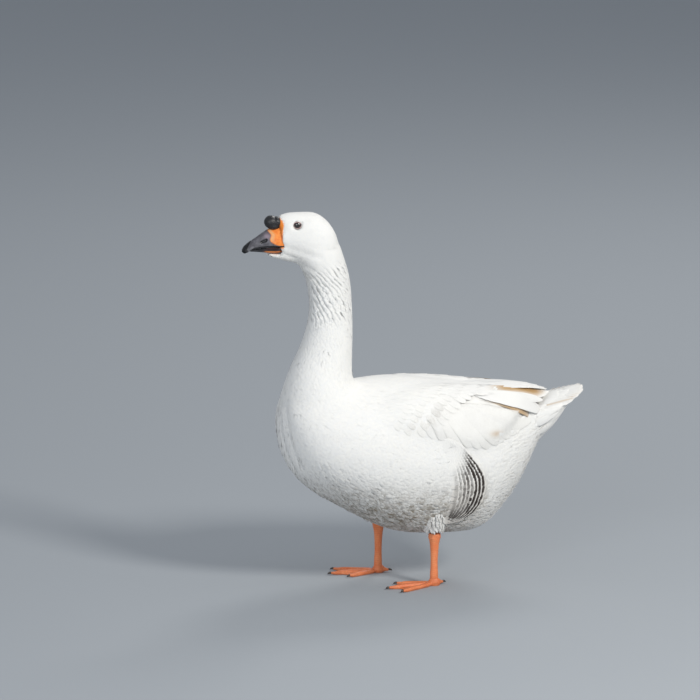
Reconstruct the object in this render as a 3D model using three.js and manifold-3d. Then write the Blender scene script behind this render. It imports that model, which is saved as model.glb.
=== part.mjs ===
// A domestic goose standing on both feet, life size, as a set of closed solids.
// Millimetres, +Z up, bill towards -Y, the bird's left side towards +X, soles at z = 0.
import * as THREE from "three";
import { mergeVertices } from "three/addons/utils/BufferGeometryUtils.js";
import Module from "manifold-3d";

const wasm = await Module();
wasm.setup();

// ---- Driving sizes ----

const gap = 0.3; // clearance between neighbouring pieces
const sides = { left: 1, right: -1 };

// Trunk sections from breast to vent: place along the body, heights of back and belly, half width.
const trunkSections = [
  { y: -221, back: 318, belly: 264, half: 22 },
  { y: -212, back: 332, belly: 229, half: 50 },
  { y: -192, back: 343, belly: 194, half: 76 },
  { y: -166, back: 350, belly: 168, half: 93 },
  { y: -128, back: 353, belly: 144, half: 106 },
  { y: -90, back: 352, belly: 122, half: 113 },
  { y: -50, back: 356, belly: 100, half: 117 },
  { y: -5, back: 356, belly: 85, half: 119 },
  { y: 45, back: 348, belly: 80, half: 118 },
  { y: 95, back: 340, belly: 78, half: 111 },
  { y: 128, back: 333, belly: 80, half: 102 },
  { y: 152, back: 330, belly: 95, half: 92 },
  { y: 176, back: 327, belly: 122, half: 80 },
  { y: 206, back: 320, belly: 160, half: 63 },
  { y: 226, back: 315, belly: 202, half: 52 },
  { y: 248, back: 309, belly: 243, half: 42 },
  { y: 276, back: 305, belly: 267, half: 36 },
  { y: 298, back: 307, belly: 288, half: 26 },
];
const trunk = {
  topSquareness: 2.25,
  squareness: 1.95,
  widestShare: 0.5,
  frontPole: -224,
  rearPole: 310,
};

// Neck sections from inside the breast to inside the head: centre line, half depth and half width.
const neckSections = [
  { y: -112, z: 248, depth: 88, width: 84 },
  { y: -134, z: 292, depth: 86, width: 86 },
  { y: -147, z: 330, depth: 71, width: 72 },
  { y: -147, z: 362, depth: 57, width: 56 },
  { y: -140, z: 394, depth: 48.5, width: 45 },
  { y: -132, z: 436, depth: 41.3, width: 37.5 },
  { y: -128.7, z: 482, depth: 37.2, width: 32.5 },
  { y: -132.5, z: 525, depth: 37.5, width: 32 },
  { y: -139, z: 550, depth: 37.5, width: 31.5 },
  { y: -150, z: 576, depth: 38, width: 30.5 },
  { y: -165, z: 598, depth: 33, width: 27 },
  { y: -176, z: 613, depth: 22, width: 20 },
];

// Planes that part the flesh: a point on each and its normal, which points towards the head.
const neckBase = { y: -150, z: 350, lean: 20 };
const neckMiddle = { y: -130, z: 460, lean: 2 };
const neckTop = { y: -146, z: 566, lean: 36 };

// The head's own frame: its origin, and how far it looks to the right of the body's line.
const head = { origin: new THREE.Vector3(0, -167, 599), turn: THREE.MathUtils.degToRad(-10) };
const headSections = [
  { y: -56, back: 45, belly: 30, half: 8 },
  { y: -50, back: 47.5, belly: -12, half: 13 },
  { y: -44, back: 49, belly: -25, half: 17.5 },
  { y: -30, back: 49.5, belly: -34, half: 22 },
  { y: -12, back: 50, belly: -43, half: 25.5 },
  { y: 8, back: 48.5, belly: -50, half: 27.5 },
  { y: 26, back: 38, belly: -44, half: 25 },
  { y: 38, back: 23, belly: -33, half: 20 },
  { y: 46, back: 8, belly: -20, half: 10 },
];
// Feathered chin that runs forward under the lower bill.
const chinSections = [
  { y: -18, z: -28, depth: 13, width: 18 },
  { y: -36, z: -24.5, depth: 9, width: 13 },
  { y: -54, z: -21.6, depth: 4.8, width: 8 },
  { y: -68, z: -18.8, depth: 1.6, width: 3.5 },
];
const upperBillSections = [
  { y: -36, back: 33, belly: -9, half: 15.5 },
  { y: -50, back: 29, belly: -8.5, half: 15.2 },
  { y: -62, back: 25.5, belly: -7.6, half: 14.2 },
  { y: -75, back: 20, belly: -8, half: 12.6 },
  { y: -88, back: 11, belly: -9.2, half: 11.6 },
  { y: -100, back: 2.8, belly: -12.5, half: 10.8 },
  { y: -109, back: -4, belly: -16.6, half: 7.5 },
];
const lowerBillSections = [
  { y: -36, back: -8, belly: -23, half: 13 },
  { y: -50, back: -7, belly: -21.5, half: 12.8 },
  { y: -66, back: -6, belly: -19.6, half: 11.6 },
  { y: -80, back: -7, belly: -16.8, half: 10.4 },
  { y: -96, back: -10, belly: -15.6, half: 8 },
];
const bill = { tip: -115.5, lowerTip: -101, root: -31, squareness: 2.1, widestShare: 0.3 };
const knob = { y: -63.5, z: 33, length: 15, width: 12.5, height: 13.2 };
const eye = { x: 15.2, y: -22.3, z: 28, radius: 8 };

// Folded wing, laid on the trunk: height of its lower edge, distance of its upper edge from the
// midline, lift of its mid-surface off the trunk, and half thickness.
const wingSections = [
  { y: -80, low: 294, inner: 84, lift: -4, thick: 3.5 },
  { y: -50, low: 277, inner: 68, lift: -1, thick: 6.5 },
  { y: 0, low: 267, inner: 48, lift: 1, thick: 9 },
  { y: 50, low: 256, inner: 33, lift: 2, thick: 9.5 },
  { y: 95, low: 243, inner: 24, lift: 4, thick: 8.5 },
  { y: 130, low: 244, inner: 18, lift: 5, thick: 7.5 },
  { y: 165, low: 260, inner: 15, lift: 7, thick: 6.5 },
  { y: 205, low: 284, inner: 12, lift: 10, thick: 5 },
  { y: 232, low: 300, inner: 12, lift: 13, thick: 3.5 },
];
const wing = { front: -86, tip: 242 };

// Bundle of long quills that runs out from under the wing towards the tail.
const quills = { root: [36, 172, 316], tip: [13, 256, 325], spread: 20, thick: 2.4 };

const tail = {
  root: [206, 297], // y and z of the fan's hidden root
  tip: [327, 315],
  rootHalf: 34,
  tipHalf: 56,
  droop: 12, // how far the outer edges hang below the middle
  cornerBack: 16, // how far the outer corners stay behind the middle
  rootThick: 11,
  tipThick: 2.2,
};

// Each leg: where its hock stands, and where the toes join. The right leg is a step ahead.
const legs = {
  left: { x: 62, hockY: 37, toeJointY: 36 },
  right: { x: -62, hockY: -21, toeJointY: -22 },
};
const leg = {
  thighTop: 175,
  featherEnd: 91,
  thighRadius: 40,
  hockRadius: 11.2,
  shinRadius: 6.2,
  ankleHeight: 12,
};
const toes = [
  { name: "inner", length: 60, spread: 24, radius: 4.4 },
  { name: "middle", length: 80, spread: -1, radius: 4.8 },
  { name: "outer", length: 74, spread: -25, radius: 4.4 },
];
const hindToe = { name: "hind", length: 15, spread: 168, radius: 3.2, height: 9 };
const foot = { web: 2.4, webReach: 0.93, heel: 11, padWidth: 9, sole: 0.5, toeOut: 3 };
const claw = { length: 9, radius: 3 };

// ---- Shaping helpers ----

/** Smooth curve through rows of named numbers, looked up by the rows' `key` value. */
function through(rows, key) {
  const names = Object.keys(rows[0]).filter((name) => name !== key);
  const slope = (i, name) => {
    const before = rows[Math.max(0, i - 1)];
    const after = rows[Math.min(rows.length - 1, i + 1)];
    return (after[name] - before[name]) / (after[key] - before[key]);
  };
  return (at) => {
    let i = rows.findIndex((row) => row[key] > at) - 1;
    if (i < 0) i = at <= rows[0][key] ? 0 : rows.length - 2;
    const [low, high] = [rows[i], rows[i + 1]];
    const span = high[key] - low[key];
    const u = THREE.MathUtils.clamp((at - low[key]) / span, 0, 1);
    const found = {};
    for (const name of names) {
      const [a, b] = [low[name], high[name]];
      const [ma, mb] = [slope(i, name) * span, slope(i + 1, name) * span];
      found[name] =
        a + u * (ma + u * (3 * (b - a) - 2 * ma - mb + u * (2 * (a - b) + ma + mb)));
    }
    return found;
  };
}

/** Closed skin with a pole at each end. pointAt takes a share along it and an angle round it. */
function loft(rows, columns, pointAt) {
  const skin = new THREE.SphereGeometry(1, columns, rows);
  const places = skin.getAttribute("position");
  for (let i = 0; i < places.count; i++) {
    const along = Math.floor(i / (columns + 1)) / rows;
    const round = ((i % (columns + 1)) % columns) / columns;
    const pole = along === 0 || along === 1;
    const p = pointAt(along, pole ? 0 : round * 2 * Math.PI);
    places.setXYZ(i, p.x, p.y, p.z);
  }
  return solid(skin);
}

/** A closed three.js geometry as a manifold-3d solid with its faces outwards. */
function solid(geometry, matrix = new THREE.Matrix4()) {
  const bare = geometry.clone();
  bare.deleteAttribute("normal");
  bare.deleteAttribute("uv");
  bare.applyMatrix4(matrix);
  const merged = mergeVertices(bare, 1e-4);
  const make = (triVerts) =>
    new wasm.Manifold(
      new wasm.Mesh({
        numProp: 3,
        vertProperties: merged.getAttribute("position").array,
        triVerts,
      }),
    );
  const corners = new Uint32Array(merged.index.array);
  const made = make(corners);
  return made.volume() > 0 ? made : make(corners.reverse());
}

/** Point on a rounded section: angle 0 is the left side, a quarter turn is the top. */
function onSection(s, angle, shape) {
  const { widestShare } = shape;
  const squareness = angle < Math.PI ? shape.topSquareness ?? shape.squareness : shape.squareness;
  const [c, t] = [Math.cos(angle), Math.sin(angle)];
  const bulge = (value) => Math.sign(value) * Math.abs(value) ** (2 / squareness);
  const widest = s.belly + widestShare * (s.back - s.belly);
  const rise = t > 0 ? s.back - widest : widest - s.belly;
  return new THREE.Vector3(s.half * bulge(c), s.y, widest + rise * bulge(t));
}

/** Loft through sections square to the body's line, closed by a pole at each end. */
function bodyLoft(rows, columns, sections, ends, grow = 0) {
  const at = through(sections, "y");
  const [first, last] = [sections[0], sections[sections.length - 1]];
  return loft(rows, columns, (along, angle) => {
    const eased = 0.5 - 0.5 * Math.cos(Math.PI * along);
    const y = THREE.MathUtils.lerp(ends.from, ends.to, THREE.MathUtils.lerp(along, eased, 0.5));
    const edge = Math.sign(last.y - first.y);
    const beyond = (first.y - y) * edge > 0 ? first : (y - last.y) * edge > 0 ? last : null;
    const s = { y, ...at(y) };
    if (beyond) {
      const pole = beyond === first ? ends.from : ends.to;
      const share = (y - pole) / (beyond.y - pole);
      const shrink = Math.sqrt(Math.max(0, 1 - (1 - share) ** 2));
      const middle = (s.back + s.belly) / 2;
      s.back = middle + (s.back - middle) * shrink;
      s.belly = middle + (s.belly - middle) * shrink;
      s.half *= shrink;
    }
    s.back += grow;
    s.belly -= grow;
    s.half += grow;
    if (along === 0) s.y -= grow * edge;
    if (along === 1) s.y += grow * edge;
    if (along === 0 || along === 1) {
      return new THREE.Vector3(0, s.y, (s.back + s.belly) / 2);
    }
    return onSection(s, angle, ends);
  });
}

/** Tapered round bar through points that each carry a half depth and a half width. */
function barLoft(rows, columns, sections, grow = 0) {
  const points = sections.map((s) => new THREE.Vector3(s.x ?? 0, s.y, s.z));
  const line = new THREE.CatmullRomCurve3(points);
  const last = sections.length - 1;
  const sizes = through(sections.map((s, at) => ({ at, depth: s.depth, width: s.width })), "at");
  return loft(rows, columns, (along, angle) => {
    const centre = line.getPoint(along);
    if (along === 0 || along === 1) return centre;
    const tangent = line.getTangent(along);
    const across = new THREE.Vector3(1, 0, 0).addScaledVector(tangent, -tangent.x).normalize();
    const forward = new THREE.Vector3().crossVectors(across, tangent);
    const size = sizes(along * last);
    const round = Math.min(1, Math.sqrt(Math.min(along, 1 - along) * rows * 0.8));
    return centre
      .addScaledVector(across, (size.width * round + grow) * Math.cos(angle))
      .addScaledVector(forward, (size.depth * round + grow) * Math.sin(angle));
  });
}

function ball(x, y, z, radii, columns = 14, rows = 9) {
  const place = new THREE.Matrix4().makeTranslation(x, y, z).scale(new THREE.Vector3(...radii));
  return solid(new THREE.SphereGeometry(1, columns, rows), place);
}

function box(centre, size) {
  return solid(new THREE.BoxGeometry(...size), new THREE.Matrix4().makeTranslation(...centre));
}

/** Parts a solid at a plane across the body's line. Returns what lies before and after it. */
function partAt(whole, plane) {
  const reach = 900;
  const side = (sign) => {
    const block = new THREE.Matrix4()
      .makeTranslation(0, plane.y, plane.z)
      .multiply(new THREE.Matrix4().makeRotationX(THREE.MathUtils.degToRad(plane.lean)))
      .multiply(new THREE.Matrix4().makeTranslation(0, 0, sign * (reach + gap) / 2));
    return whole.intersect(solid(new THREE.BoxGeometry(reach, reach, reach), block));
  };
  return [side(-1), side(1)];
}

function largest(pieces) {
  return pieces.decompose().sort((a, b) => b.volume() - a.volume())[0];
}

/** The head's pieces are made in its own frame and set in place with this. */
const headPlace = new THREE.Matrix4()
  .makeTranslation(...head.origin)
  .multiply(new THREE.Matrix4().makeRotationZ(head.turn));
const onHead = (made) => made.transform(headPlace.elements);

// ---- Pieces of the body ----

const trunkEnds = { from: trunk.frontPole, to: trunk.rearPole, ...trunk };
const makeTrunk = (grow) => bodyLoft(26, 24, trunkSections, trunkEnds, grow);

/** Folded wing: a long lens whose two faces follow the trunk's side. */
function makeWing(side, grow) {
  const trunkAt = through(trunkSections, "y");
  const wingAt = through(wingSections, "y");
  return loft(16, 10, (along, angle) => {
    const eased = 0.5 - 0.5 * Math.cos(Math.PI * along);
    const y = THREE.MathUtils.lerp(wing.front - grow, wing.tip + grow, eased);
    const w = wingAt(y);
    const s = { y, ...trunkAt(y) };
    const closing = Math.sin(Math.PI * along) ** 0.45;
    const outward = w.lift + (w.thick * closing + grow) * Math.sin(angle);
    const widest = s.belly + trunk.widestShare * (s.back - s.belly);
    const share = THREE.MathUtils.clamp((w.low - widest) / (s.back - widest), 0.02, 0.98);
    const low = Math.asin(share ** (trunk.topSquareness / 2));
    const high = Math.acos(Math.min(0.98, w.inner / s.half) ** (trunk.topSquareness / 2));
    const middle = (low + high) / 2;
    const reach = Math.max(0.03, (high - low) / 2) * closing + grow / s.half;
    const at = middle - reach * Math.cos(angle) * (along === 0 || along === 1 ? 0 : 1);
    const grown = { y, back: s.back + outward, belly: s.belly, half: s.half + outward };
    const p = onSection(grown, at, trunk);
    return new THREE.Vector3(side * p.x, p.y, p.z);
  });
}

/** Quill bundle: a flat blade that narrows to its tip. */
function makeQuills(side, grow) {
  const [root, tip] = [new THREE.Vector3(...quills.root), new THREE.Vector3(...quills.tip)];
  return loft(10, 8, (along, angle) => {
    const p = new THREE.Vector3().lerpVectors(root, tip, along);
    const width = quills.spread * Math.sin(Math.PI * Math.min(0.98, 0.3 + 0.7 * along)) ** 0.7;
    const closing = Math.min(1, Math.sqrt(12 * Math.min(along, 1 - along)));
    const across = (width * closing + grow) * Math.cos(angle) * 0.5;
    const up = (quills.thick * closing + grow) * Math.sin(angle);
    const pole = along === 0 || along === 1 ? 0 : 1;
    p.x += pole * across * 0.8;
    p.z += pole * (up - across * 0.6);
    p.x *= side;
    return p;
  });
}

/** Tail fan: an arched plate that widens to its tip. */
function makeTail(grow) {
  return loft(12, 16, (along, angle) => {
    const half = THREE.MathUtils.lerp(tail.rootHalf, tail.tipHalf, along ** 0.8);
    const thick = THREE.MathUtils.lerp(tail.rootThick, tail.tipThick, along);
    const closing = Math.min(1, Math.sqrt(14 * Math.min(along, 1 - along)));
    const pole = along === 0 || along === 1 ? 0 : 1;
    const share = Math.cos(angle) * pole;
    const across = (half * Math.max(closing, 0.82) + grow) * share;
    const arch = (across / tail.tipHalf) ** 2;
    return new THREE.Vector3(
      across,
      THREE.MathUtils.lerp(tail.root[0], tail.tip[0], along) - tail.cornerBack * arch * along,
      THREE.MathUtils.lerp(tail.root[1], tail.tip[1], along) -
        tail.droop * arch +
        (thick * closing + grow) * Math.sin(angle) * pole,
    );
  });
}

/** Feathered lower thigh, from inside the belly to just above the hock. */
function makeThigh(side) {
  const { x, hockY } = legs[side];
  const step = (leg.thighTop - leg.featherEnd) / 3;
  const sections = [
    { x: x * 0.86, y: hockY - 4, z: leg.featherEnd + 3 * step, depth: 30, width: 22 },
    { x: x * 0.92, y: hockY - 4, z: leg.featherEnd + 2 * step, depth: leg.thighRadius, width: 30 },
    { x: x * 0.98, y: hockY - 3, z: leg.featherEnd + step, depth: 30, width: 23 },
    { x, y: hockY, z: leg.featherEnd, depth: 13, width: 11.5 },
    { x, y: hockY + 1, z: leg.featherEnd - 12, depth: 8, width: 7 },
  ];
  return barLoft(12, 12, sections);
}

/** Bare shank, from the hock down to the toes' joint. */
function makeShank(side, grow) {
  const { x, hockY, toeJointY } = legs[side];
  const lean = (share) => THREE.MathUtils.lerp(hockY, toeJointY, share);
  const sections = [
    { x, y: lean(-0.1), z: leg.featherEnd + 12, depth: 8, width: 7 },
    { x, y: lean(0), z: leg.featherEnd - 4, depth: leg.hockRadius, width: 9.2 },
    { x, y: lean(0.22), z: leg.featherEnd - 18, depth: 8, width: 6.6 },
    { x, y: lean(0.6), z: leg.featherEnd * 0.45, depth: leg.shinRadius, width: 5.2 },
    { x, y: lean(0.9), z: leg.ankleHeight + 6, depth: 7.2, width: 6.4 },
    { x, y: lean(1.1), z: leg.ankleHeight - 8, depth: 7, width: 7 },
  ];
  return barLoft(12, 10, sections, grow);
}

/** Frame of one toe: origin at the toes' joint, its length along local -Y. */
function toeFrame(side, toe) {
  const turn = sides[side] * (toe.spread * -1 + foot.toeOut);
  return new THREE.Matrix4()
    .makeTranslation(legs[side].x, legs[side].toeJointY, 0)
    .multiply(new THREE.Matrix4().makeRotationZ(THREE.MathUtils.degToRad(turn)));
}

/** One toe with its claw cut off: knuckled bar that lies on the floor. */
function makeToe(side, toe) {
  const sections = [0, 0.3, 0.62, 0.9, 1].map((share, i) => {
    const radius = toe.radius * [1.35, 1.05, 1.02, 0.92, 0.6][i];
    const rise = toe.height ? toe.height - share * 4 : radius * 0.72;
    return { y: -toe.length * share, z: rise, depth: radius * 0.95, width: radius };
  });
  return barLoft(6, 6, sections).transform(toeFrame(side, toe).elements);
}

/** Claw: a short curved cone set before the toe's end. */
function makeClaw(side, toe) {
  const rise = toe.height ? toe.height - 5 : claw.radius;
  const sections = [
    { y: 0, z: rise + 0.8, depth: claw.radius, width: claw.radius * 0.8 },
    { y: -claw.length * 0.5, z: rise + 0.9, depth: claw.radius * 0.72, width: claw.radius * 0.6 },
    { y: -claw.length, z: rise - 1.6, depth: claw.radius * 0.3, width: claw.radius * 0.25 },
  ];
  const ahead = new THREE.Matrix4().makeTranslation(0, -toe.length - 1.4, 0);
  const place = toeFrame(side, toe).multiply(ahead);
  return barLoft(4, 6, sections).transform(place.elements);
}

/** Web between the three front toes, with a hollow edge between each pair. */
function makeWeb(side) {
  const tips = toes.map((toe) => {
    const tip = new THREE.Vector3(0, -toe.length * foot.webReach, 0);
    return tip.applyMatrix4(toeFrame(side, toe));
  });
  const root = new THREE.Vector2(legs[side].x, legs[side].toeJointY + foot.heel * 0.4);
  const outline = new THREE.Shape();
  outline.moveTo(root.x, root.y);
  outline.lineTo(tips[0].x, tips[0].y);
  for (let i = 1; i < tips.length; i++) {
    const pull = new THREE.Vector2((tips[i - 1].x + tips[i].x) / 2, (tips[i - 1].y + tips[i].y) / 2);
    pull.lerp(root, 0.2);
    outline.quadraticCurveTo(pull.x, pull.y, tips[i].x, tips[i].y);
  }
  outline.closePath();
  const plate = new THREE.ExtrudeGeometry(outline, {
    depth: foot.web,
    bevelEnabled: false,
    curveSegments: 4,
  });
  return solid(plate, new THREE.Matrix4().makeTranslation(0, 0, foot.sole));
}

/** Whole foot of one side: toes, web and heel pad, flat underneath. */
function makeFoot(side) {
  const { x, toeJointY } = legs[side];
  const padRadii = [foot.padWidth, foot.heel, leg.ankleHeight * 0.75];
  let whole = ball(x, toeJointY + 1, leg.ankleHeight * 0.45, padRadii, 10, 8);
  for (const toe of [...toes, hindToe]) whole = whole.add(makeToe(side, toe));
  whole = whole.add(makeWeb(side));
  return whole.subtract(box([x, toeJointY, -50], [400, 400, 100]));
}

// ---- Parting and fitting ----

const solids = {};

const neckLoft = barLoft(24, 18, neckSections);
const headLoft = onHead(bodyLoft(13, 16, headSections, {
  from: -58, to: 50, squareness: 2.15, widestShare: 0.5,
}));
const upperBillEnds = { from: bill.tip, to: bill.root, ...bill };
const makeUpperBill = (grow) =>
  bodyLoft(14, 14, upperBillSections.toReversed(), upperBillEnds, grow);
const lowerBillLoft = bodyLoft(10, 12, lowerBillSections.toReversed(), {
  from: bill.lowerTip, to: bill.root, squareness: 2.1, widestShare: 0.62,
});
const knobRadii = (grow) => [knob.width + grow, knob.length + grow, knob.height + grow];
const makeKnob = (grow) => ball(0, knob.y, knob.z, knobRadii(grow));
const makeEye = (side, grow) =>
  ball(sides[side] * eye.x, eye.y, eye.z, Array(3).fill(eye.radius + grow), 12, 7);

let flesh = makeTrunk(0).add(neckLoft).add(headLoft).add(onHead(barLoft(6, 10, chinSections)));
for (const side of ["left", "right"]) {
  flesh = flesh.subtract(makeWing(sides[side], gap)).subtract(makeQuills(sides[side], gap));
  flesh = flesh.subtract(makeShank(side, gap));
}
flesh = flesh.subtract(makeTail(gap));

const [lowBody, highBody] = partAt(flesh, neckBase);
const [neckAndUp, headPart] = partAt(highBody, neckTop);
const [neckLow, neckHigh] = partAt(neckAndUp, neckMiddle);
solids.trunk = largest(lowBody);
solids.neck_lower = largest(neckLow);
solids.neck_upper = largest(neckHigh);

const face = onHead(makeUpperBill(gap))
  .add(onHead(lowerBillLoft))
  .add(onHead(makeKnob(gap)))
  .add(onHead(makeEye("left", gap)))
  .add(onHead(makeEye("right", gap)));
const billRoot = onHead(box([0, bill.root - 3, 0], [60, 10, 90]));
solids.head = largest(headPart.subtract(face));
const beforeFace = (made) => largest(made.subtract(billRoot));
solids.bill_upper = beforeFace(onHead(makeUpperBill(0)));
solids.bill_lower = beforeFace(onHead(lowerBillLoft).subtract(onHead(makeUpperBill(gap))));
solids.knob = largest(onHead(makeKnob(0)).subtract(onHead(makeUpperBill(gap))));
solids.tail = makeTail(0);

for (const [side, sign] of Object.entries(sides)) {
  solids[`eye_${side}`] = onHead(makeEye(side, 0));
  const quillGap = makeQuills(sign, gap);
  solids[`wing_${side}`] = largest(makeWing(sign, 0).subtract(quillGap));
  solids[`quills_${side}`] = makeQuills(sign, 0).subtract(makeTail(gap));
  const hock = { y: legs[side].hockY, z: leg.featherEnd, lean: 0 };
  const toeJoint = { y: legs[side].toeJointY, z: leg.ankleHeight, lean: 0 };
  const [, thigh] = partAt(makeThigh(side), hock);
  solids[`thigh_${side}`] = largest(thigh.subtract(makeTrunk(gap)));
  const [shank] = partAt(makeShank(side, 0), hock);
  const [, bare] = partAt(shank, toeJoint);
  solids[`shank_${side}`] = largest(bare);
  const [footPart] = partAt(makeFoot(side), toeJoint);
  let footLeft = footPart;
  for (const toe of [...toes, hindToe]) {
    const clawSolid = makeClaw(side, toe);
    solids[`claw_${side}_${toe.name}`] = clawSolid;
    footLeft = footLeft.subtract(clawSolid);
  }
  solids[`foot_${side}`] = largest(footLeft);
}

// ---- Colours and the finished group ----

const finishes = {
  plumage: { color: 0xf2f1ec, roughness: 0.85 },
  bill: { color: 0x2b2b2f, roughness: 0.4 },
  knob: { color: 0x1b1b1e, roughness: 0.35 },
  eye: { color: 0x120c0a, roughness: 0.08 },
  leg: { color: 0xe8743c, roughness: 0.55 },
  claw: { color: 0x3a3430, roughness: 0.45 },
};
const finishOf = (name) => {
  if (name.startsWith("bill")) return finishes.bill;
  if (name.startsWith("shank") || name.startsWith("foot")) return finishes.leg;
  return finishes[name.split("_")[0]] ?? finishes.plumage;
};

const goose = new THREE.Group();
for (const [name, made] of Object.entries(solids)) {
  const { vertProperties, triVerts, numProp, numVert } = made.getMesh();
  const places = new Float32Array(numVert * 3);
  for (let i = 0; i < numVert; i++) {
    places.set(vertProperties.subarray(i * numProp, i * numProp + 3), i * 3);
  }
  const geometry = new THREE.BufferGeometry();
  geometry.setAttribute("position", new THREE.BufferAttribute(places, 3));
  geometry.setIndex(new THREE.BufferAttribute(triVerts, 1));
  geometry.computeVertexNormals();
  const finish = finishOf(name);
  const mesh = new THREE.Mesh(geometry, new THREE.MeshStandardMaterial({ metalness: 0, ...finish }));
  mesh.name = name;
  goose.add(mesh);
}

// The origin goes under the middle of the bird's outline, on the floor.
const outline = new THREE.Box3().setFromObject(goose);
const middle = outline.getCenter(new THREE.Vector3());
goose.position.set(-middle.x, -middle.y, 0);

export default goose;
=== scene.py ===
import math

import bmesh
import bpy
import numpy as np
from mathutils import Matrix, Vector
from mathutils.bvhtree import BVHTree
from mathutils.kdtree import KDTree


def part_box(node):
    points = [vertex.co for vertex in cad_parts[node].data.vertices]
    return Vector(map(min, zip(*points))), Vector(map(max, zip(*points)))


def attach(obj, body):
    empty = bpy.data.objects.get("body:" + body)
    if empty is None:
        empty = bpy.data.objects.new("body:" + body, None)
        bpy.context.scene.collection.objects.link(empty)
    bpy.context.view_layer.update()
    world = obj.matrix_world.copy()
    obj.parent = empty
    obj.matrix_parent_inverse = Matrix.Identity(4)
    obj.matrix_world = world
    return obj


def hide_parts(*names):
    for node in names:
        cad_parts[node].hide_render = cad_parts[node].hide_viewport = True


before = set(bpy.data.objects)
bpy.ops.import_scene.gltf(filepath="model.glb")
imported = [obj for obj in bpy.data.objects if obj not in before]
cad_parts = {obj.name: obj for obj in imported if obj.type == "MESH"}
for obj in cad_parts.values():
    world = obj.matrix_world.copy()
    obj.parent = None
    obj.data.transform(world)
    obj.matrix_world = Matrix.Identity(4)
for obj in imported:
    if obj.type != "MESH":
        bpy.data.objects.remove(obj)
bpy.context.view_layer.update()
print("frame loaded")

# Shapes are worked out in millimetres, with the trunk's front at y = -224, and put in the frame at the end.
mm = 0.001
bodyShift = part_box("trunk")[0].y / mm + 224
chance = np.random.default_rng(7)
sides = ("left", "right")
toes = ("inner", "middle", "outer", "hind")
upwards = np.array((0.0, 0.0, 1.0))
backwards = np.array((0.0, 1.0, 0.0))
mirror = np.array((-1, 1, 1))


def toFrame(points):
    placed = np.asarray(points, dtype=float).copy()
    placed[..., 1] += bodyShift
    return placed * mm


def fromFrame(points):
    placed = np.asarray(points, dtype=float) / mm
    placed[..., 1] -= bodyShift
    return placed


def middleOf(name):
    low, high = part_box(name)
    return fromFrame(np.array((low + high) / 2))


def unit(vectors):
    return vectors / np.maximum(np.linalg.norm(vectors, axis=-1, keepdims=True), 1e-9)


def flatten(vectors, normals):
    return vectors - normals * np.sum(vectors * normals, axis=-1, keepdims=True)


def fade(value, low, high):
    # 0 at low and 1 at high, so it falls where low is the larger number.
    share = np.clip((np.asarray(value, dtype=float) - low) / (high - low), 0, 1)
    return share * share * (3 - 2 * share)


def bell(*parts):
    # 1 in the middle and 0 far away. Each part is a value, its middle and its width.
    return np.exp(-sum(((value - middle) / width) ** 2 for value, middle, width in parts))


def rowsAt(at, rows):
    return np.interp(at, *zip(*rows))


def columnsAt(at, places, columns):
    columns = np.asarray(columns, dtype=float)
    return np.stack([np.interp(at, places, columns[:, i]) for i in range(columns.shape[1])], -1)


def curveRows(rows, at):
    # Smooth values between rows that are sorted by their first number.
    rows = np.array(rows, dtype=float)
    rows = rows[rows[:, 0].argsort()]
    places = rows[:, 0]
    slopes = np.gradient(rows[:, 1:], places, axis=0)
    index = np.clip(np.searchsorted(places, at) - 1, 0, len(places) - 2)
    span = (places[index + 1] - places[index])[:, None]
    u = ((at - places[index]) / span[:, 0])[:, None]
    low, high = rows[index, 1:], rows[index + 1, 1:]
    lowSlope, highSlope = slopes[index] * span, slopes[index + 1] * span
    cubic = 2 * (low - high) + lowSlope + highSlope
    return low + u * (lowSlope + u * (3 * (high - low) - 2 * lowSlope - highSlope + u * cubic))


def reachOf(path):
    return np.concatenate([[0], np.cumsum(np.linalg.norm(np.diff(path, axis=0), axis=1))])


def evenPath(rows, count, rounds):
    # Even steps along the line through the rows' first two numbers, smoothed.
    rows = np.array(rows, dtype=float)
    reach = reachOf(rows[:, :2])
    at = np.linspace(0, reach[-1], count)
    dense = columnsAt(at, reach, rows)
    for _ in range(rounds):
        dense[1:-1] = (dense[:-2] + 2 * dense[1:-1] + dense[2:]) / 4
    return dense, at


def easedSteps(count, power=1.35):
    return 1 - (1 - np.linspace(0, 1, count)) ** power


def readArray(items, name, width, kind=float):
    values = np.empty(len(items) * width, dtype=kind)
    items.foreach_get(name, values)
    return values.reshape(-1, width)


def pointsOf(mesh):
    return fromFrame(readArray(mesh.vertices, "co", 3))


def normalsOf(mesh):
    return readArray(mesh.vertices, "normal", 3)


def edgesOf(mesh):
    return readArray(mesh.edges, "vertices", 2, int)


def setPoints(mesh, points):
    mesh.vertices.foreach_set("co", toFrame(points).ravel())
    mesh.update()


def shadeMesh(mesh, **shades):
    for label, value in shades.items():
        layer = mesh.attributes.new(label, "FLOAT", "POINT")
        layer.data.foreach_set("value", np.asarray(value, dtype=np.float32))


def meshFrom(form, name):
    mesh = bpy.data.meshes.new(name)
    form.to_mesh(mesh)
    form.free()
    return mesh


def addForm(joined, form):
    holder = meshFrom(form, "holder")
    joined.from_mesh(holder)
    bpy.data.meshes.remove(holder)


def linked(name, data):
    holder = bpy.data.objects.new(name, data)
    bpy.context.scene.collection.objects.link(holder)
    return holder


def addObject(name, mesh, material, replaced=()):
    piece = linked(name, mesh)
    mesh.materials.clear()
    mesh.materials.append(material)
    mesh.polygons.foreach_set("use_smooth", np.ones(len(mesh.polygons), dtype=bool))
    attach(piece, "root")
    if replaced:
        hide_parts(*replaced)


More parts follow.
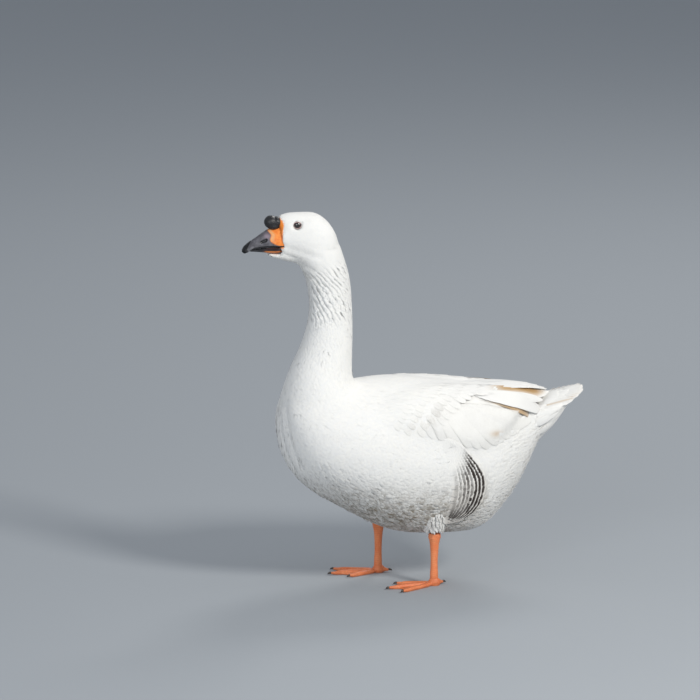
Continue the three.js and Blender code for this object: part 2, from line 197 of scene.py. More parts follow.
def smoothed(mesh, points, rounds, share=0.5):
    # Moves each point towards its neighbours' mean, for its own number of rounds.
    count = len(points)
    edges = edgesOf(mesh)
    rounds = np.broadcast_to(rounds, count)
    ends = np.concatenate([edges[:, 0], edges[:, 1]])
    others = np.concatenate([edges[:, 1], edges[:, 0]])
    valence = np.maximum(np.bincount(ends, minlength=count), 1)
    moved = points.copy()
    for turn in range(int(rounds.max())):
        sums = np.stack([np.bincount(ends, moved[others, axis], count) for axis in range(3)], 1)
        active = (turn < rounds)[:, None]
        moved += np.where(active, share * (sums / valence[:, None] - moved), 0)
    return moved


def joinedNodes(names, swell):
    joined = bmesh.new()
    for name in names:
        piece = bmesh.new()
        piece.from_mesh(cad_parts[name].data)
        bmesh.ops.remove_doubles(piece, verts=piece.verts, dist=0.02 * mm)
        piece.normal_update()
        for vert in piece.verts:
            vert.co += vert.normal * swell * mm
        addForm(joined, piece)
    return meshFrom(joined, "joined")


def evenMesh(mesh, voxel, name="even"):
    holder = linked("holder", mesh)
    modifier = holder.modifiers.new("even", "REMESH")
    modifier.mode = "VOXEL"
    modifier.voxel_size = voxel * mm
    made = bpy.data.meshes.new_from_object(holder.evaluated_get(bpy.context.evaluated_depsgraph_get()))
    made.name = name
    bpy.data.objects.remove(holder)
    bpy.data.meshes.remove(mesh)
    return made


def nearestOf(places, points, count):
    # The nearest few places to each point: their indices and their distances.
    tree = KDTree(len(places))
    for index, place in enumerate(places.tolist()):
        tree.insert(place, index)
    tree.balance()
    found = np.array([[hit[1:] for hit in tree.find_n(point, count)] for point in points.tolist()])
    return found[..., 0].astype(int), found[..., 1]


class Wire:
    def __init__(self, tree, socket):
        self.tree = tree
        self.socket = socket

    def maths(self, operation, first, second=None):
        node = self.tree.nodes.new("ShaderNodeMath")
        node.operation = operation
        for slot, value in zip(node.inputs, (first, second)):
            if isinstance(value, Wire):
                self.tree.links.new(value.socket, slot)
            elif value is not None:
                slot.default_value = value
        return Wire(self.tree, node.outputs[0])

    def __add__(self, other):
        return self.maths("ADD", self, other)

    def __sub__(self, other):
        return self.maths("SUBTRACT", self, other)

    def __rsub__(self, other):
        return self.maths("SUBTRACT", other, self)

    def __mul__(self, other):
        return self.maths("MULTIPLY", self, other)

    __radd__ = __add__
    __rmul__ = __mul__

    def size(self):
        return self.maths("ABSOLUTE", self)

    def sine(self):
        return self.maths("SINE", self)


class Finish:
    def __init__(self, name, roughness, **fixed):
        self.material = bpy.data.materials.new(name)
        self.material.use_nodes = True
        self.tree = self.material.node_tree
        self.shader = self.tree.nodes["Principled BSDF"]
        self.shader.inputs["Roughness"].default_value = roughness
        for socket, value in fixed.items():
            self.shader.inputs[socket.replace("_", " ")].default_value = value
        self.coords = self.node("ShaderNodeTexCoord", output="Object")

    def node(self, kind, settings=None, values=None, output=0):
        made = self.tree.nodes.new(kind)
        for name, value in (settings or {}).items():
            setattr(made, name, value)
        for name, value in (values or {}).items():
            if isinstance(value, Wire):
                self.tree.links.new(value.socket, made.inputs[name])
            else:
                made.inputs[name].default_value = value
        return Wire(self.tree, made.outputs[output])

    def noise(self, scale, detail=3.0):
        values = {"Scale": scale, "Detail": detail, "Roughness": 0.55, "Vector": self.coords}
        return self.node("ShaderNodeTexNoise", None, values)

    def cells(self, scale):
        values = {"Scale": scale, "Vector": self.coords}
        return self.node("ShaderNodeTexVoronoi", {"feature": "F1"}, values, "Distance")

    def ramp(self, value, low, high):
        values = {"Value": value, "From Min": low, "From Max": high}
        return self.node("ShaderNodeMapRange", {"interpolation_type": "SMOOTHSTEP"}, values)

    def blend(self, share, first, second):
        values = {0: share, 6: first, 7: second}
        for slot, value in values.items():
            values[slot] = (*value, 1.0) if isinstance(value, tuple) else value
        return self.node("ShaderNodeMix", {"data_type": "RGBA"}, values, 2)

    def axes(self, vector):
        made = self.tree.nodes.new("ShaderNodeSeparateXYZ")
        self.tree.links.new(vector.socket, made.inputs[0])
        return [Wire(self.tree, output) for output in made.outputs]

    def attribute(self, name):
        return self.node("ShaderNodeAttribute", {"attribute_name": name}, None, "Fac")

    def finish(self, colour, roughness=None, bump=None, height=0.001, strength=0.6):
        self.tree.links.new(colour.socket, self.shader.inputs["Base Color"])
        if roughness is not None:
            self.tree.links.new(roughness.socket, self.shader.inputs["Roughness"])
        if bump is not None:
            values = {"Height": bump, "Distance": height, "Strength": strength}
            normal = self.node("ShaderNodeBump", None, values)
            self.tree.links.new(normal.socket, self.shader.inputs["Normal"])
        return self.material


# The head's own axes run across it, back and up, from a place behind the bill.
eyeStyle = {
    "radius": 7.6, "raised": 2.9, "iris": 4.9, "pupil": 2.9, "ring": (6.2, 5.3), "lid": 0.3, "sunk": 1.5,
    "forward": 6, "y": -22.3, "z": 28,
}
eyeCentre = {side: (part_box("eye_" + side)[0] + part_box("eye_" + side)[1]) / 2 for side in sides}
headAcross = np.array((eyeCentre["left"] - eyeCentre["right"]).normalized())
headBack = np.cross((0, 0, 1), headAcross)
eyeMiddle = fromFrame(np.array((eyeCentre["left"] + eyeCentre["right"]) / 2))
headOrigin = eyeMiddle - headBack * eyeStyle["y"] - np.array((0, 0, eyeStyle["z"]))


def onHead(points):
    points = np.asarray(points, dtype=float)
    return headOrigin + points[..., :1] * headAcross + points[..., 1:2] * headBack + points[..., 2:] * upwards


def fromHead(points):
    away = np.asarray(points) - headOrigin
    return np.stack([away @ headAcross, away @ headBack, away[..., 2]], -1)


def headShare(points, low, high):
    x, y, z = points.T
    return fade(z - 0.5 * (y + 150), low, high) * (y < -90)


# The bird's middle line from bill to tail: y, z and the rough half thickness there.
spineRows = [
    (-262, 600, 14), (-225, 600, 20), (-190, 601, 30), (-164, 590, 34), (-146, 562, 36), (-134, 525, 36),
    (-129, 482, 36), (-132, 436, 40), (-140, 394, 50), (-142, 355, 66), (-124, 305, 96), (-85, 262, 115),
    (-30, 235, 125), (40, 220, 128), (110, 220, 125), (170, 240, 98), (215, 264, 64), (255, 284, 42),
    (300, 298, 26), (332, 312, 16),
]
spine, spineReach = evenPath(spineRows, 180, 12)
spineTangent = unit(np.gradient(spine[:, :2], axis=0))
batch = 20000


def spineFields(points):
    # The way back along the bird at each point, how far along it is, and the middle line's place there.
    flows = np.zeros_like(points)
    along = np.zeros(len(points))
    middle = np.zeros((len(points), 2))
    for start in range(0, len(points), batch):
        part = slice(start, start + batch)
        away = points[part, None, 1:] - spine[None, :, :2]
        across = points[part, None, 0]
        far = np.sqrt(np.sum(away**2, axis=2) + (0.6 * across) ** 2) / spine[None, :, 2]
        weight = np.exp(-14 * (far - far.min(axis=1, keepdims=True)))
        weight /= weight.sum(axis=1, keepdims=True)
        flows[part, 1:] = weight @ spineTangent
        along[part] = weight @ spineReach
        middle[part] = weight @ spine[:, :2]
    return flows, along, middle


# Furrows of the neck: where they start and end, their slant, the space between them and their depth.
neckTurn = {"top": 552, "bottom": 466, "slant": 0.56, "pitch": 9.6, "depth": 1.15, "radius": 36}


def neckMask(points):
    x, y, z = points.T
    low = fade(z, neckTurn["bottom"] - 14, neckTurn["bottom"] + 18)
    return low * fade(z - 0.35 * (y + 150), neckTurn["top"] + 14, neckTurn["top"] - 4) * (y < -70)


def neckArc(points, middle):
    return neckTurn["radius"] * np.arctan2(np.abs(points[:, 0]) * 1.12, middle[:, 0] - points[:, 1])


def furrowPhase(points, middle):
    x, y, z = points.T
    arc = neckArc(points, middle)
    side = np.sign(x)
    wobble = 2.4 * np.sin(z * 0.085 + arc * 0.05 + 2 * side) + 1.3 * np.sin(z * 0.21 - arc * 0.11 + side)
    return (arc + neckTurn["slant"] * z + wobble) / neckTurn["pitch"]


def furrowDepth(points, middle):
    arc = neckArc(points, middle)
    phase = furrowPhase(points, middle)
    groove = (0.5 + 0.5 * np.cos(2 * np.pi * phase)) ** 1.6
    broken = 0.25 + 0.75 * fade(np.sin(points[:, 2] * 0.115 + 2.3 * np.round(phase)), -0.75, 0.35)
    broken = broken * (1 - 0.6 * fade(arc, 26, 10))
    return neckMask(points) * groove * fade(arc, 76, 50) * broken


def lieOfCoat(points, normals):
    side = np.sign(points[:, :1]) * fade(np.abs(points[:, :1]), 0, 9)
    around = unit(flatten(backwards, normals)) * np.abs(side)
    flows = spineFields(points)[0] + neckTurn["slant"] * neckMask(points)[:, None] * around
    return unit(flatten(flows, normals))


# Creases of the skin: on the head points in y and z and the range of x, on the breast points in x, y and z.
creases = [
    {
        "path": [(-214, 592), (-200, 588.5), (-185, 583.6), (-170, 578.5), (-157, 574)], "depth": 1.2,
        "width": 5.0, "x": (4, 60),
    },
    {"path": [(-218, 582), (-201, 574.5), (-188, 571)], "depth": 1.3, "width": 2.6, "x": (3, 60)},
    {"path": [(-196, 568), (-181, 560), (-168, 553)], "depth": 1.2, "width": 3.0, "x": (3, 60)},
    {"path": [(-176, 616), (-166, 619), (-152, 618)], "depth": 0.6, "width": 1.6, "x": (12, 60)},
    {
        "path": [(-11, -215, 318), (4, -219, 292), (8, -216, 261), (15, -210, 234), (15, -200, 208)],
        "depth": 3.4, "width": 5.0,
    },
    {
        "path": [(16, -214, 316), (28, -217, 292), (35, -215, 266), (40, -209, 243), (44, -198, 217)],
        "depth": 3.4, "width": 5.0,
    },
    {
        "path": [(70, 258), (86, 240), (104, 218), (117, 196), (121, 174), (117, 147), (105, 123), (85, 108)],
        "depth": 1.2, "width": 5.0, "x": (55, 130),
    },
]


def creaseDepth(points):
    depth = np.zeros(len(points))
    for crease in creases:
        path = np.array(crease["path"], dtype=float)
        inside = 1.0
        places = points
        if path[0, 0] > 0 or "x" in crease:
            places = np.column_stack([np.abs(points[:, 0]), points[:, 1:]])
        if "x" in crease:
            low, high = crease["x"]
            inside = fade(places[:, 0], low - 4, low + 2) * fade(places[:, 0], high + 3, high - 3)
            places = places[:, 1:]
        nearest = np.full(len(points), 1e9)
        for start, end in zip(path[:-1], path[1:]):
            run = end - start
            share = np.clip(((places - start) @ run) / (run @ run), 0, 1)
            away = np.linalg.norm(places - start - share[:, None] * run, axis=1)
            nearest = np.minimum(nearest, away)
        depth += crease["depth"] * bell((nearest, 0, crease["width"])) * inside
    return depth


# The coat's outer surface, from the solids of flesh.
surface = {
    "nodes": [
        "head", "neck_lower", "neck_upper", "trunk", "thigh_left", "thigh_right", "wing_left", "wing_right",
    ],
    "swell": 0.45,  # closes the thin cuts between the solids
    "voxel": 2.8,
    "smoothTrunk": 60,
    "smoothNeck": 26,
    "smoothHead": 5,
    "headSwell": 0.5,
}
axisRows = [
    (-130, 300), (-85, 262), (-30, 235), (40, 222), (110, 226), (170, 246), (225, 272), (275, 292),
    (327, 312),
]


class Surface:
    def __init__(self, mesh):
        self.mesh = mesh
        self.points = pointsOf(mesh)
        self.normals = normalsOf(mesh)
        faces = [tuple(polygon.vertices) for polygon in mesh.polygons]
        self.faces = np.array([face if len(face) == 4 else (*face, face[2]) for face in faces])
        self.tree = BVHTree.FromPolygons(self.points.tolist(), faces)

    def nearest(self, points):
        found = [self.tree.find_nearest(point) for point in points.tolist()]
        places = np.array([hit[0] for hit in found])
        corners = self.faces[[hit[2] for hit in found]]
        away = np.linalg.norm(self.points[corners] - places[:, None], axis=2)
        weights = 1 / (away**2 + 0.05)
        return places, unit(np.sum(self.normals[corners] * weights[..., None], axis=1))

    def fromOutside(self, y, degrees):
        # The outermost place at a distance along the body and an angle round its middle line.
        direction = Vector((math.cos(math.radians(degrees)), 0, math.sin(math.radians(degrees))))
        start = Vector((0, y, float(rowsAt(y, axisRows)))) + direction * 400
        hit = self.tree.ray_cast(start, -direction)
        return None if hit[0] is None else np.array(hit[0])


# How far the face's feathered rim is drawn forwards over the bill, by height: z, reach, and the rim's y.
faceRim = [
    (-34, 0, -44), (-26, 7, -42), (-18, 10, -42), (-10, 8, -41), (-4, 4, -42), (5, 7, -43), (13, 5.5, -43),
    (22, 0.5, -47), (34, 0, -50), (41, 2.0, -50), (45, 2.2, -50), (49, 0.5, -50), (56, 0, -50),
]


def drawnForwards(points):
    local = fromHead(points)
    heights, reach, rims = zip(*faceRim)
    rim = np.interp(local[:, 2], heights, rims)
    share = fade(local[:, 1], rim + 10, rim)
    brow = 3.4 * fade(local[:, 1], -32, -58) * fade(local[:, 2], 30, 44)
    local[:, 1] -= np.interp(local[:, 2], heights, reach) * share
    local[:, 2] -= brow
    return np.where(points[:, 2:] > 520, onHead(local), points)


def buildSurface():
    mesh = evenMesh(joinedNodes(surface["nodes"], surface["swell"]), surface["voxel"])
    points = pointsOf(mesh)
    head = headShare(points, 545, 575)
    neck = fade(points[:, 2], 350, 400) * (points[:, 1] < -80)
    rounds = surface["smoothTrunk"] * (1 - neck) + neck * surface["smoothNeck"]
    rounds = rounds * (1 - head) + head * surface["smoothHead"]
    points = drawnForwards(smoothed(mesh, points, rounds))
    setPoints(mesh, points)
    points += normalsOf(mesh) * (surface["headSwell"] * head - creaseDepth(points))[:, None]
    setPoints(mesh, smoothed(mesh, points, 2))
    return Surface(mesh)


outer = buildSurface()
print("outer surface", len(outer.points), "points")

# Markings that the skin and the coat share: the flank's rounded lobe with its rows of bars, seen from the
# side in y and z, and the wing's low edge.
lobeArc = [
    (42, 264), (66, 254), (81, 236), (99, 215), (111, 194), (114, 174), (110, 148), (99, 128), (81, 114),
    (51, 112),
]
wingEdge = [
    (-70, 24), (-59, 20), (-44, 19), (-27, 20), (20, 17), (45, 18), (83, 12), (123, 8), (149, 8), (175, 11),
    (221, 14), (250, 30),
]
flank = {"step": 7.2, "rows": 8, "breadth": 68, "width": 16, "length": 32, "spacing": 6.6}
lobe, _ = evenPath(lobeArc, 120, 10)
lobeOutward = unit(np.stack([-np.gradient(lobe[:, 1]), np.gradient(lobe[:, 0])], 1))
lobeChord = lobe[0] + np.linspace(0, 1, len(lobe))[:, None] ** 0.8 * (lobe[-1] - lobe[0])


def roundBody(points):
    return np.degrees(np.arctan2(points[:, 2] - rowsAt(points[:, 1], axisRows), np.abs(points[:, 0])))


def lobeDepth(points):
    # How far inside the flank's lobe a place is, seen from the side, and the share along its edge.
    # The depth is counted towards the lobe's root, so that rows of one depth meet at its two ends.
    inside = np.full(len(points), -99.0)
    share = np.zeros(len(points))
    run = lobeChord - lobe
    reach = np.maximum(np.sum(run**2, axis=1), 16)
    x, y, z = points.T
    close = (np.abs(x) > 40) & (y > -20) & (y < 160) & (z < 300)
    for start in range(0, len(points), batch):
        part = np.flatnonzero(close[start:start + batch]) + start
        away = points[part, None, 1:] - lobe[None]
        along = np.sum(away * run[None], axis=2) / reach
        far = np.linalg.norm(away - np.clip(along, -0.5, 1)[..., None] * run[None], axis=2)
        best = far.argmin(axis=1)
        inside[part] = along[np.arange(len(part)), best] * flank["breadth"]
        share[part] = best / (len(lobe) - 1)
    return inside, share


def soilOf(points, normals):
    x, y, z = points.T
    # Dirt on the low belly, which also paints its shade: darker where the surface faces down.
    low = fade(z, 235, 120) * fade(normals[:, 2], 0.35, -0.75)
    front = fade(y, 150, 20)
    rear = fade(y, 60, 170)
    ripple = (
        np.sin(y * 0.19 + 2.1 * np.sin(z * 0.11)) * np.sin(z * 0.23 + x * 0.08)
        + 0.6 * np.sin(y * 0.41 + x * 0.31) * np.sin(z * 0.53)
    )
    # Painted shade under the cheek: a warm darkening of the throat where it faces down.
    throatShade = 0.24 * fade(z, 462, 486) * fade(normals[:, 2], -0.02, -0.55)
    inside, _ = lobeDepth(points)
    stained = 0.3 * fade(inside, -2, 6) * fade(inside, 85, 30) * fade(z, 225, 150)
    belly = low * (0.35 + 0.65 * front) * (1 - 0.6 * rear) * (0.85 + 0.35 * ripple)
    return np.clip(belly + stained + throatShade, 0, 1)


def barOf(points):
    # Dark bars of the flank's last rows, each with a pale edge towards the lobe's rim.
    inside, share = lobeDepth(points)
    row = inside / flank["step"]
    within = row - np.floor(row)
    ends = fade(inside, -1, 1) * fade(share, 0.16, 0.34) * fade(inside, flank["step"] * flank["rows"] + 6, 16)
    return ends * fade(within, 0.22, 0.34) * fade(within, 1.02, 0.88)


plumageColours = {
    "white": (0.86, 0.845, 0.80), "cool": (0.80, 0.80, 0.79), "soil": (0.27, 0.228, 0.168),
    "tan": (0.50, 0.31, 0.13), "bar": (0.030, 0.021, 0.016), "bare": (0.86, 0.25, 0.032),
}


def plumageFinish(name, barbs=False, bare=False):
    finish = Finish(name, 0.72, Specular_IOR_Level=0.28, Sheen_Weight=0.15, Sheen_Roughness=0.5)
    tint = finish.attribute("tint")
    cloud = finish.noise(22, 3)
    colour = finish.blend(tint * 0.5 + cloud * 0.35, plumageColours["white"], plumageColours["cool"])
    fleck = finish.noise(95, 4) * 0.45 + finish.noise(330, 3) * 0.4 + tint * 0.3
    # Dirt together with painted shade, then tan marks with painted shade in the wing's gaps, the flank's bars
    # and the bare skin.
    soil = finish.attribute("soil") * finish.ramp(fleck, 0.28, 0.76)
    colour = finish.blend(soil, colour, plumageColours["soil"])
    for label in ("tan", "bar", "bare") if bare else ("tan", "bar"):
        colour = finish.blend(finish.attribute(label), colour, plumageColours[label])
    bump = finish.noise(900, 2)
    if barbs:
        across, along, _ = finish.axes(finish.node("ShaderNodeUVMap", {"uv_map": "Vane"}, None, "UV"))
        slant = across.size() * 0.9 - along
        bump = (slant * 620 + finish.noise(240, 2) * 3).sine() * 0.5 + bump
    return finish.finish(colour, bump=bump, height=0.00035, strength=0.35)


coatFinish = plumageFinish("small white feathers")
vaneFinish = plumageFinish("large white feathers", barbs=True)

# Where the bill's bare base ends under the feathers, by height on the head's axes: z and y.
billEdgeRows = [
    (-26, -80), (-20.5, -72), (-18.5, -58), (-16.5, -50.5), (-10, -46), (-4, -45.6), (6, -49.2), (19, -47.6),
    (33, -45.4), (38, -47.5), (43, -51.5), (46.5, -56), (50, -58),
]


def bareFace(points):
    # Above nought where the bill's bare base is, in millimetres ahead of the feathers' edge.
    local = fromHead(points)
    return np.where(points[:, 2] > 540, rowsAt(local[:, 2], billEdgeRows) - local[:, 1], -9.0)


def coatDepth(points):
    neck = fade(points[:, 2], 340, 420) * (points[:, 1] < -80)
    depth = 3.0 + neck * (2.6 - 3.0)
    depth = depth + headShare(points, 540, 590) * (1.5 - depth)
    return depth + fade(points[:, 2], 112, 96) * (2.2 - depth)


def makeSkin():
    # The skin lies inside the coat, and the ends of the wings sink under their feathers.
    x, y, z = outer.points.T
    depth = coatDepth(outer.points)
    sunk = (fade(y, 140, 172) * fade(z, 288, 304))[:, None]
    points = outer.points - outer.normals * depth[:, None] * (1 - 0.8 * sunk)
    points -= sunk * np.column_stack([10 * fade(x, -25, 25) - 5, 0 * depth, 0 * depth + 8])
    mesh = outer.mesh.copy()
    mesh.name = "skin"
    setPoints(mesh, smoothed(outer.mesh, points, np.where(depth > 2, 2, 1)))
    bare = fade(bareFace(outer.points), -0.6, 0.8) * fade(fromHead(outer.points)[:, 2], -12, -8)
    shadeMesh(mesh, soil=soilOf(outer.points, outer.normals), bar=barOf(outer.points), bare=bare)
    addObject("skin", mesh, plumageFinish("feathered skin", bare=True), surface["nodes"])


makeSkin()
print("skin made")

# Size and stance of the small feathers, from tiny on the face to long on the body: on the head, neck, thighs
# and body, then what the underside, the rear, the back and the breast's front add.
coatSizes = {
    "spacing": (2.2, 3.3, 2.8, 4.3, -0.5, -0.2, 1.3, 0), "length": (5.4, 14.0, 10.0, 21.0, -7, -3, 8, -3),
    "width": (2.9, 4.6, 3.8, 8.0, -3.8, -3.0, 3.6, -0.6),
    "lift": (0.05, 0.10, 0.4, 0.05, 0.14, 0.08, 0.02, 0), "depth": (1.5, 3.0, 2.2, 4.2, 0, 0, 0, 0),
    "thick": (0.09, 0.09, 0.2, 0.08, 0.08, 0.04, 0, 0),
    "stray": (0.06, 0.07, 0.28, 0.04, 0.26, 0.12, 0, 0), "calm": (0.9, 0.85, 0.4, 0.95, -0.2, -0.12, 0, 0),
    "loose": (0, 0, 0, 0, 0.08, 0.15, 0, 0),
}
stations = {"along": [0.0, 0.36, 0.68, 0.90], "breadth": [0.42, 0.86, 1.0, 0.70]}
ringCount = len(stations["along"])


def coatStyle(points, normals):
    x, y, z = points.T
    head = headShare(points, 532, 572)
    neck = fade(z, 330, 430) * (y < -70) * (1 - head)
    thigh = fade(z, 118, 98) * (1 - head) * (1 - neck)
    body = 1 - head - neck - thigh
    down = fade(normals[:, 2], 0.1, -0.8) * body
    rear = fade(y, 105, 170) * fade(z, 290, 240) * body
    back = fade(normals[:, 2], 0.2, 0.8) * fade(y, -120, -60) * body
    front = fade(y, -168, -200) * fade(normals[:, 1], -0.25, -0.8) * body
    shares = (head, neck, thigh, body, down, rear, back, front)
    style = {
        name: sum(share * size for share, size in zip(shares, sizes)) for name, sizes in coatSizes.items()
    }
    style["calm"] = np.clip(style["calm"] - 0.22 * neckMask(points), 0.1, 0.96)
    return {**style, "head": head, "neck": neck}


def bareOfFeathers(points, normals):
    x, y, z = points.T
    local = fromHead(points)
    fromEye = local - np.array((0, eyeStyle["y"], eyeStyle["z"] + eyeStyle["raised"]))
    eye = (np.hypot(fromEye[:, 1] / 6.3, fromEye[:, 2] / 5.4) < 1) & (np.abs(local[:, 0]) > 8) & (z > 500)
    turn = roundBody(points)
    wing = (y > 1.3 * np.clip(turn - 30, 0, 40) - 20) & (y < 206) & (turn > rowsAt(y, wingEdge) + 9)
    wing &= (z > 200) & ((turn < 58) | (y > 130))
    tailBase = (y > 262) & (normals[:, 2] > 0.1) | (y > 160) & (z > 300)
    inside, share = lobeDepth(points)
    striped = (inside > 15) & (inside < flank["step"] * (flank["rows"] - 1)) & (share > 0.02)
    return eye | (bareFace(points) > 0.4) | wing | tailBase | striped


def spread(roots, apart):
    near, _ = nearestOf(roots, roots, 6)
    away = roots[:, None] - roots[near]
    far = np.linalg.norm(away, axis=2)
    push = np.clip(apart[:, None] - far, 0, None) * 0.35
    moves = np.sum(away / np.maximum(far, 0.01)[..., None] * push[..., None], axis=1)
    return outer.nearest(roots + moves)[0]


def scatterRoots():
    corners = outer.points[outer.faces]
    area = sum(
        np.linalg.norm(np.cross(corners[:, i] - corners[:, 0], corners[:, i + 1] - corners[:, 0]), axis=1)
        for i in (1, 2)
    ) / 2
    middles = corners.mean(axis=1)
    normals = unit(outer.normals[outer.faces].mean(axis=1))
    spacing = coatStyle(middles, normals)["spacing"]
    expected = area / (spacing**2 * 0.80) * ~bareOfFeathers(middles, normals)
    counts = np.floor(expected + chance.random(len(expected))).astype(int)
    chosen = np.repeat(np.arange(len(area)), counts)
    u, v = chance.random((2, len(chosen), 1))
    quad = corners[chosen]
    roots = (quad[:, 0] * (1 - u) + quad[:, 1] * u) * (1 - v) + (quad[:, 3] * (1 - u) + quad[:, 2] * u) * v
    for _ in range(5):
        roots = spread(roots, spacing[chosen])
    return outer.nearest(roots)


def neckRelief(points, middle):
    z = points[:, 2]
    arc = neckArc(points, middle)
    lumps = np.sin(z * 0.66 + 1.7 * np.sin(arc * 0.32)) * np.sin(arc * 0.52 - z * 0.28)
    front = fade(arc, 52, 18) * neckMask(points)
    return -neckTurn["depth"] * furrowDepth(points, middle) + 0.8 * front * lumps


def eyeAxes(side):
    sign = 1 if side == "left" else -1
    outward = unit(sign * headAcross - headBack * math.tan(math.radians(eyeStyle["forward"])))
    raised = np.array((0, 0, eyeStyle["raised"]))
    centre = fromFrame(np.array(eyeCentre[side])) + raised - outward * eyeStyle["sunk"]
    up = unit(flatten(upwards, outward))
    return centre, outward, np.cross(up, outward) * sign, up


def lidShare(points, side):
    # How far a place is from the middle of the eye's opening, as a share of the opening.
    centre, outward, ahead, up = eyeAxes(side)
    away = points - centre
    share = np.hypot(away @ ahead / eyeStyle["ring"][0], away @ up / eyeStyle["ring"][1])
    return share + 9 * (away @ outward < 0)


def clearOfEyes(points):
    # Feathers round an eye lie over its lid, and none reaches into its opening.
    for side in sides:
        share = lidShare(points, side)[..., None]
        centre = eyeAxes(side)[0]
        away = points - centre
        far = np.linalg.norm(away, axis=-1, keepdims=True)
        floor = eyeStyle["radius"] + eyeStyle["lid"] + 0.25 * (far - eyeStyle["radius"] + 2)
        floor = floor - 2.6 * fade(share, 1.1, 1.8)
        near = (share < 2.1) & (far < floor)
        points = np.where(near, centre + away / far * floor, points)
    return points


def layFeathers(roots, normals, style, flows):
    # Each feather is four diamond sections and a tip, carried over the surface along the coat's lie.
    count = len(roots)
    turn = chance.normal(0, 1, count) * style["stray"]
    sideways = np.cross(normals, flows)
    flows = unit(flows * np.cos(turn)[:, None] + sideways * np.sin(turn)[:, None])
    size = 1 + 0.14 * chance.normal(0, 1, count)
    length = style["length"] * np.clip(size, 0.7, 1.35)
    breadth = style["width"] / 2 * np.clip(1 + 0.12 * chance.normal(0, 1, count), 0.7, 1.3)
    lift = style["lift"] * (0.7 + 0.6 * chance.random(count))
    lift = lift + (chance.random(count) < style["loose"]) * (0.6 + 1.8 * chance.random(count))
    bend = chance.normal(0, 0.5, count) * style["stray"]
    rings = []
    facing = []
    place, normal, reach = roots, normals, 0.0
    for index, along in enumerate(stations["along"] + [1.0]):
        if along > 0:
            step = (along - reach) * length
            swerve = np.cross(normal, flows) * (bend * (along - reach))[:, None]
            flows = unit(flatten(flows + swerve, normal))
            place, normal = outer.nearest(place + flows * step[:, None])
            flows = unit(flatten(flows, normal))
        reach = along
        relief = neckRelief(place, spineFields(place)[2])
        height = -style["depth"] * (1 - along) ** 3.6 + lift * along**1.5 + relief * along
        centre = place + normal * height[:, None]
        if index == ringCount:
            break
        side = np.cross(normal, flows)
        half = (breadth * stations["breadth"][index])[:, None]
        thick = (style["thick"] * (1 - 0.45 * along))[:, None]
        rings += [centre - side * half, centre + normal * thick]
        rings += [centre + side * half, centre - normal * thick * 0.6]
        facing += [normal - 0.05 * side, normal, normal + 0.05 * side, -normal]
    tips = centre - normal * (style["thick"] * 0.3)[:, None]
    return clearOfEyes(np.stack(rings + [tips], 1)), unit(np.stack(facing + [normal], 1))


def featherFaces():
    # Above and below are split along the same diagonals, so that no underside shows through.
    last = ringCount * 4
    faces = []
    for ring in range(ringCount - 1):
        for corner in range(4):
            a, b = ring * 4 + corner, ring * 4 + (corner + 1) % 4
            if corner % 2 == 0:
                faces += [(a, a + 4, b + 4), (a, b + 4, b)]
            else:
                faces += [(a, a + 4, b), (a + 4, b + 4, b)]
    faces += [(last - 4 + corner, last, last - 4 + (corner + 1) % 4) for corner in range(4)]
    return faces + [(0, 1, 2, 3)]


def bakePlace(points):
    # A place on an unwrap of the skin: the share along the bird's line and the share of the turn round it.
    _, along, middle = spineFields(points)
    ahead = columnsAt(along, spineReach, spineTangent)
    away = points[:, 1:] - middle
    up = away[:, 0] * -ahead[:, 1] + away[:, 1] * ahead[:, 0]
    turn = np.arctan2(points[:, 0], up)
    return np.stack([0.02 + 0.96 * along / spineReach[-1], 0.5 + 0.47 * turn / math.pi], 1)


def joinedMesh(name, points, faces, uvs, sharp):
    # points: pieces x corners x 3. Every piece has the same faces.
    pieces, corners = points.shape[:2]
    mesh = bpy.data.meshes.new(name)
    sizes = np.array([len(face) for face in faces])
    flat = np.concatenate([np.array(face) for face in faces])
    loops = (flat[None] + (np.arange(pieces) * corners)[:, None]).ravel()
    starts = np.concatenate([[0], np.cumsum(np.tile(sizes, pieces))[:-1]])
    mesh.vertices.add(pieces * corners)
    mesh.vertices.foreach_set("co", toFrame(points).ravel())
    mesh.loops.add(len(loops))
    mesh.loops.foreach_set("vertex_index", loops)
    mesh.polygons.add(len(starts))
    mesh.polygons.foreach_set("loop_start", starts)
    mesh.update(calc_edges=True)
    for label, values in uvs.items():
        layer = mesh.uv_layers.new(name=label)
        layer.data.foreach_set("uv", values.reshape(-1, 2)[loops].ravel())
    hard = sharp(edgesOf(mesh) % corners)
    mesh.attributes.new("sharp_edge", "BOOLEAN", "EDGE").data.foreach_set("value", hard)
    mesh.validate()
    return mesh


def smallSharp(edges):
    return ((edges < ringCount * 4) & (edges % 2 == 0)).all(axis=1)


def bendNormals(mesh, facing, calm):
    # Shades feathers that lie close as one smooth coat: calm 1 takes the surface's own facing.
    own = normalsOf(mesh).reshape(facing.shape)
    share = np.reshape(calm, (-1, 1, 1))
    mesh.normals_split_custom_set_from_vertices(unit(facing * share + own * (1 - share)).reshape(-1, 3))


tuft = 0.0015  # half the width of a feather's patch on the unwrap


def makeCoat(name, roots, points, facing, calm, tint):
    corners = points.shape[1]
    across = np.array([[-1, 0], [0, 0], [1, 0], [0, 0]] * ringCount + [[0, 0]], dtype=float)
    across[:, 1] = np.repeat([2 * along - 1 for along in stations["along"]] + [1], [4] * ringCount + [1])
    uv = bakePlace(roots)[:, None] + across[None] * tuft
    mesh = joinedMesh(name, points, featherFaces(), {"OFBake": uv}, smallSharp)
    soil = soilOf(roots, outer.nearest(roots)[1])
    shadeMesh(mesh, soil=np.repeat(soil, corners), tint=np.repeat(tint, corners))
    addObject(name, mesh, coatFinish)
    bendNormals(mesh, facing, calm)
    print(name, len(roots), "feathers")


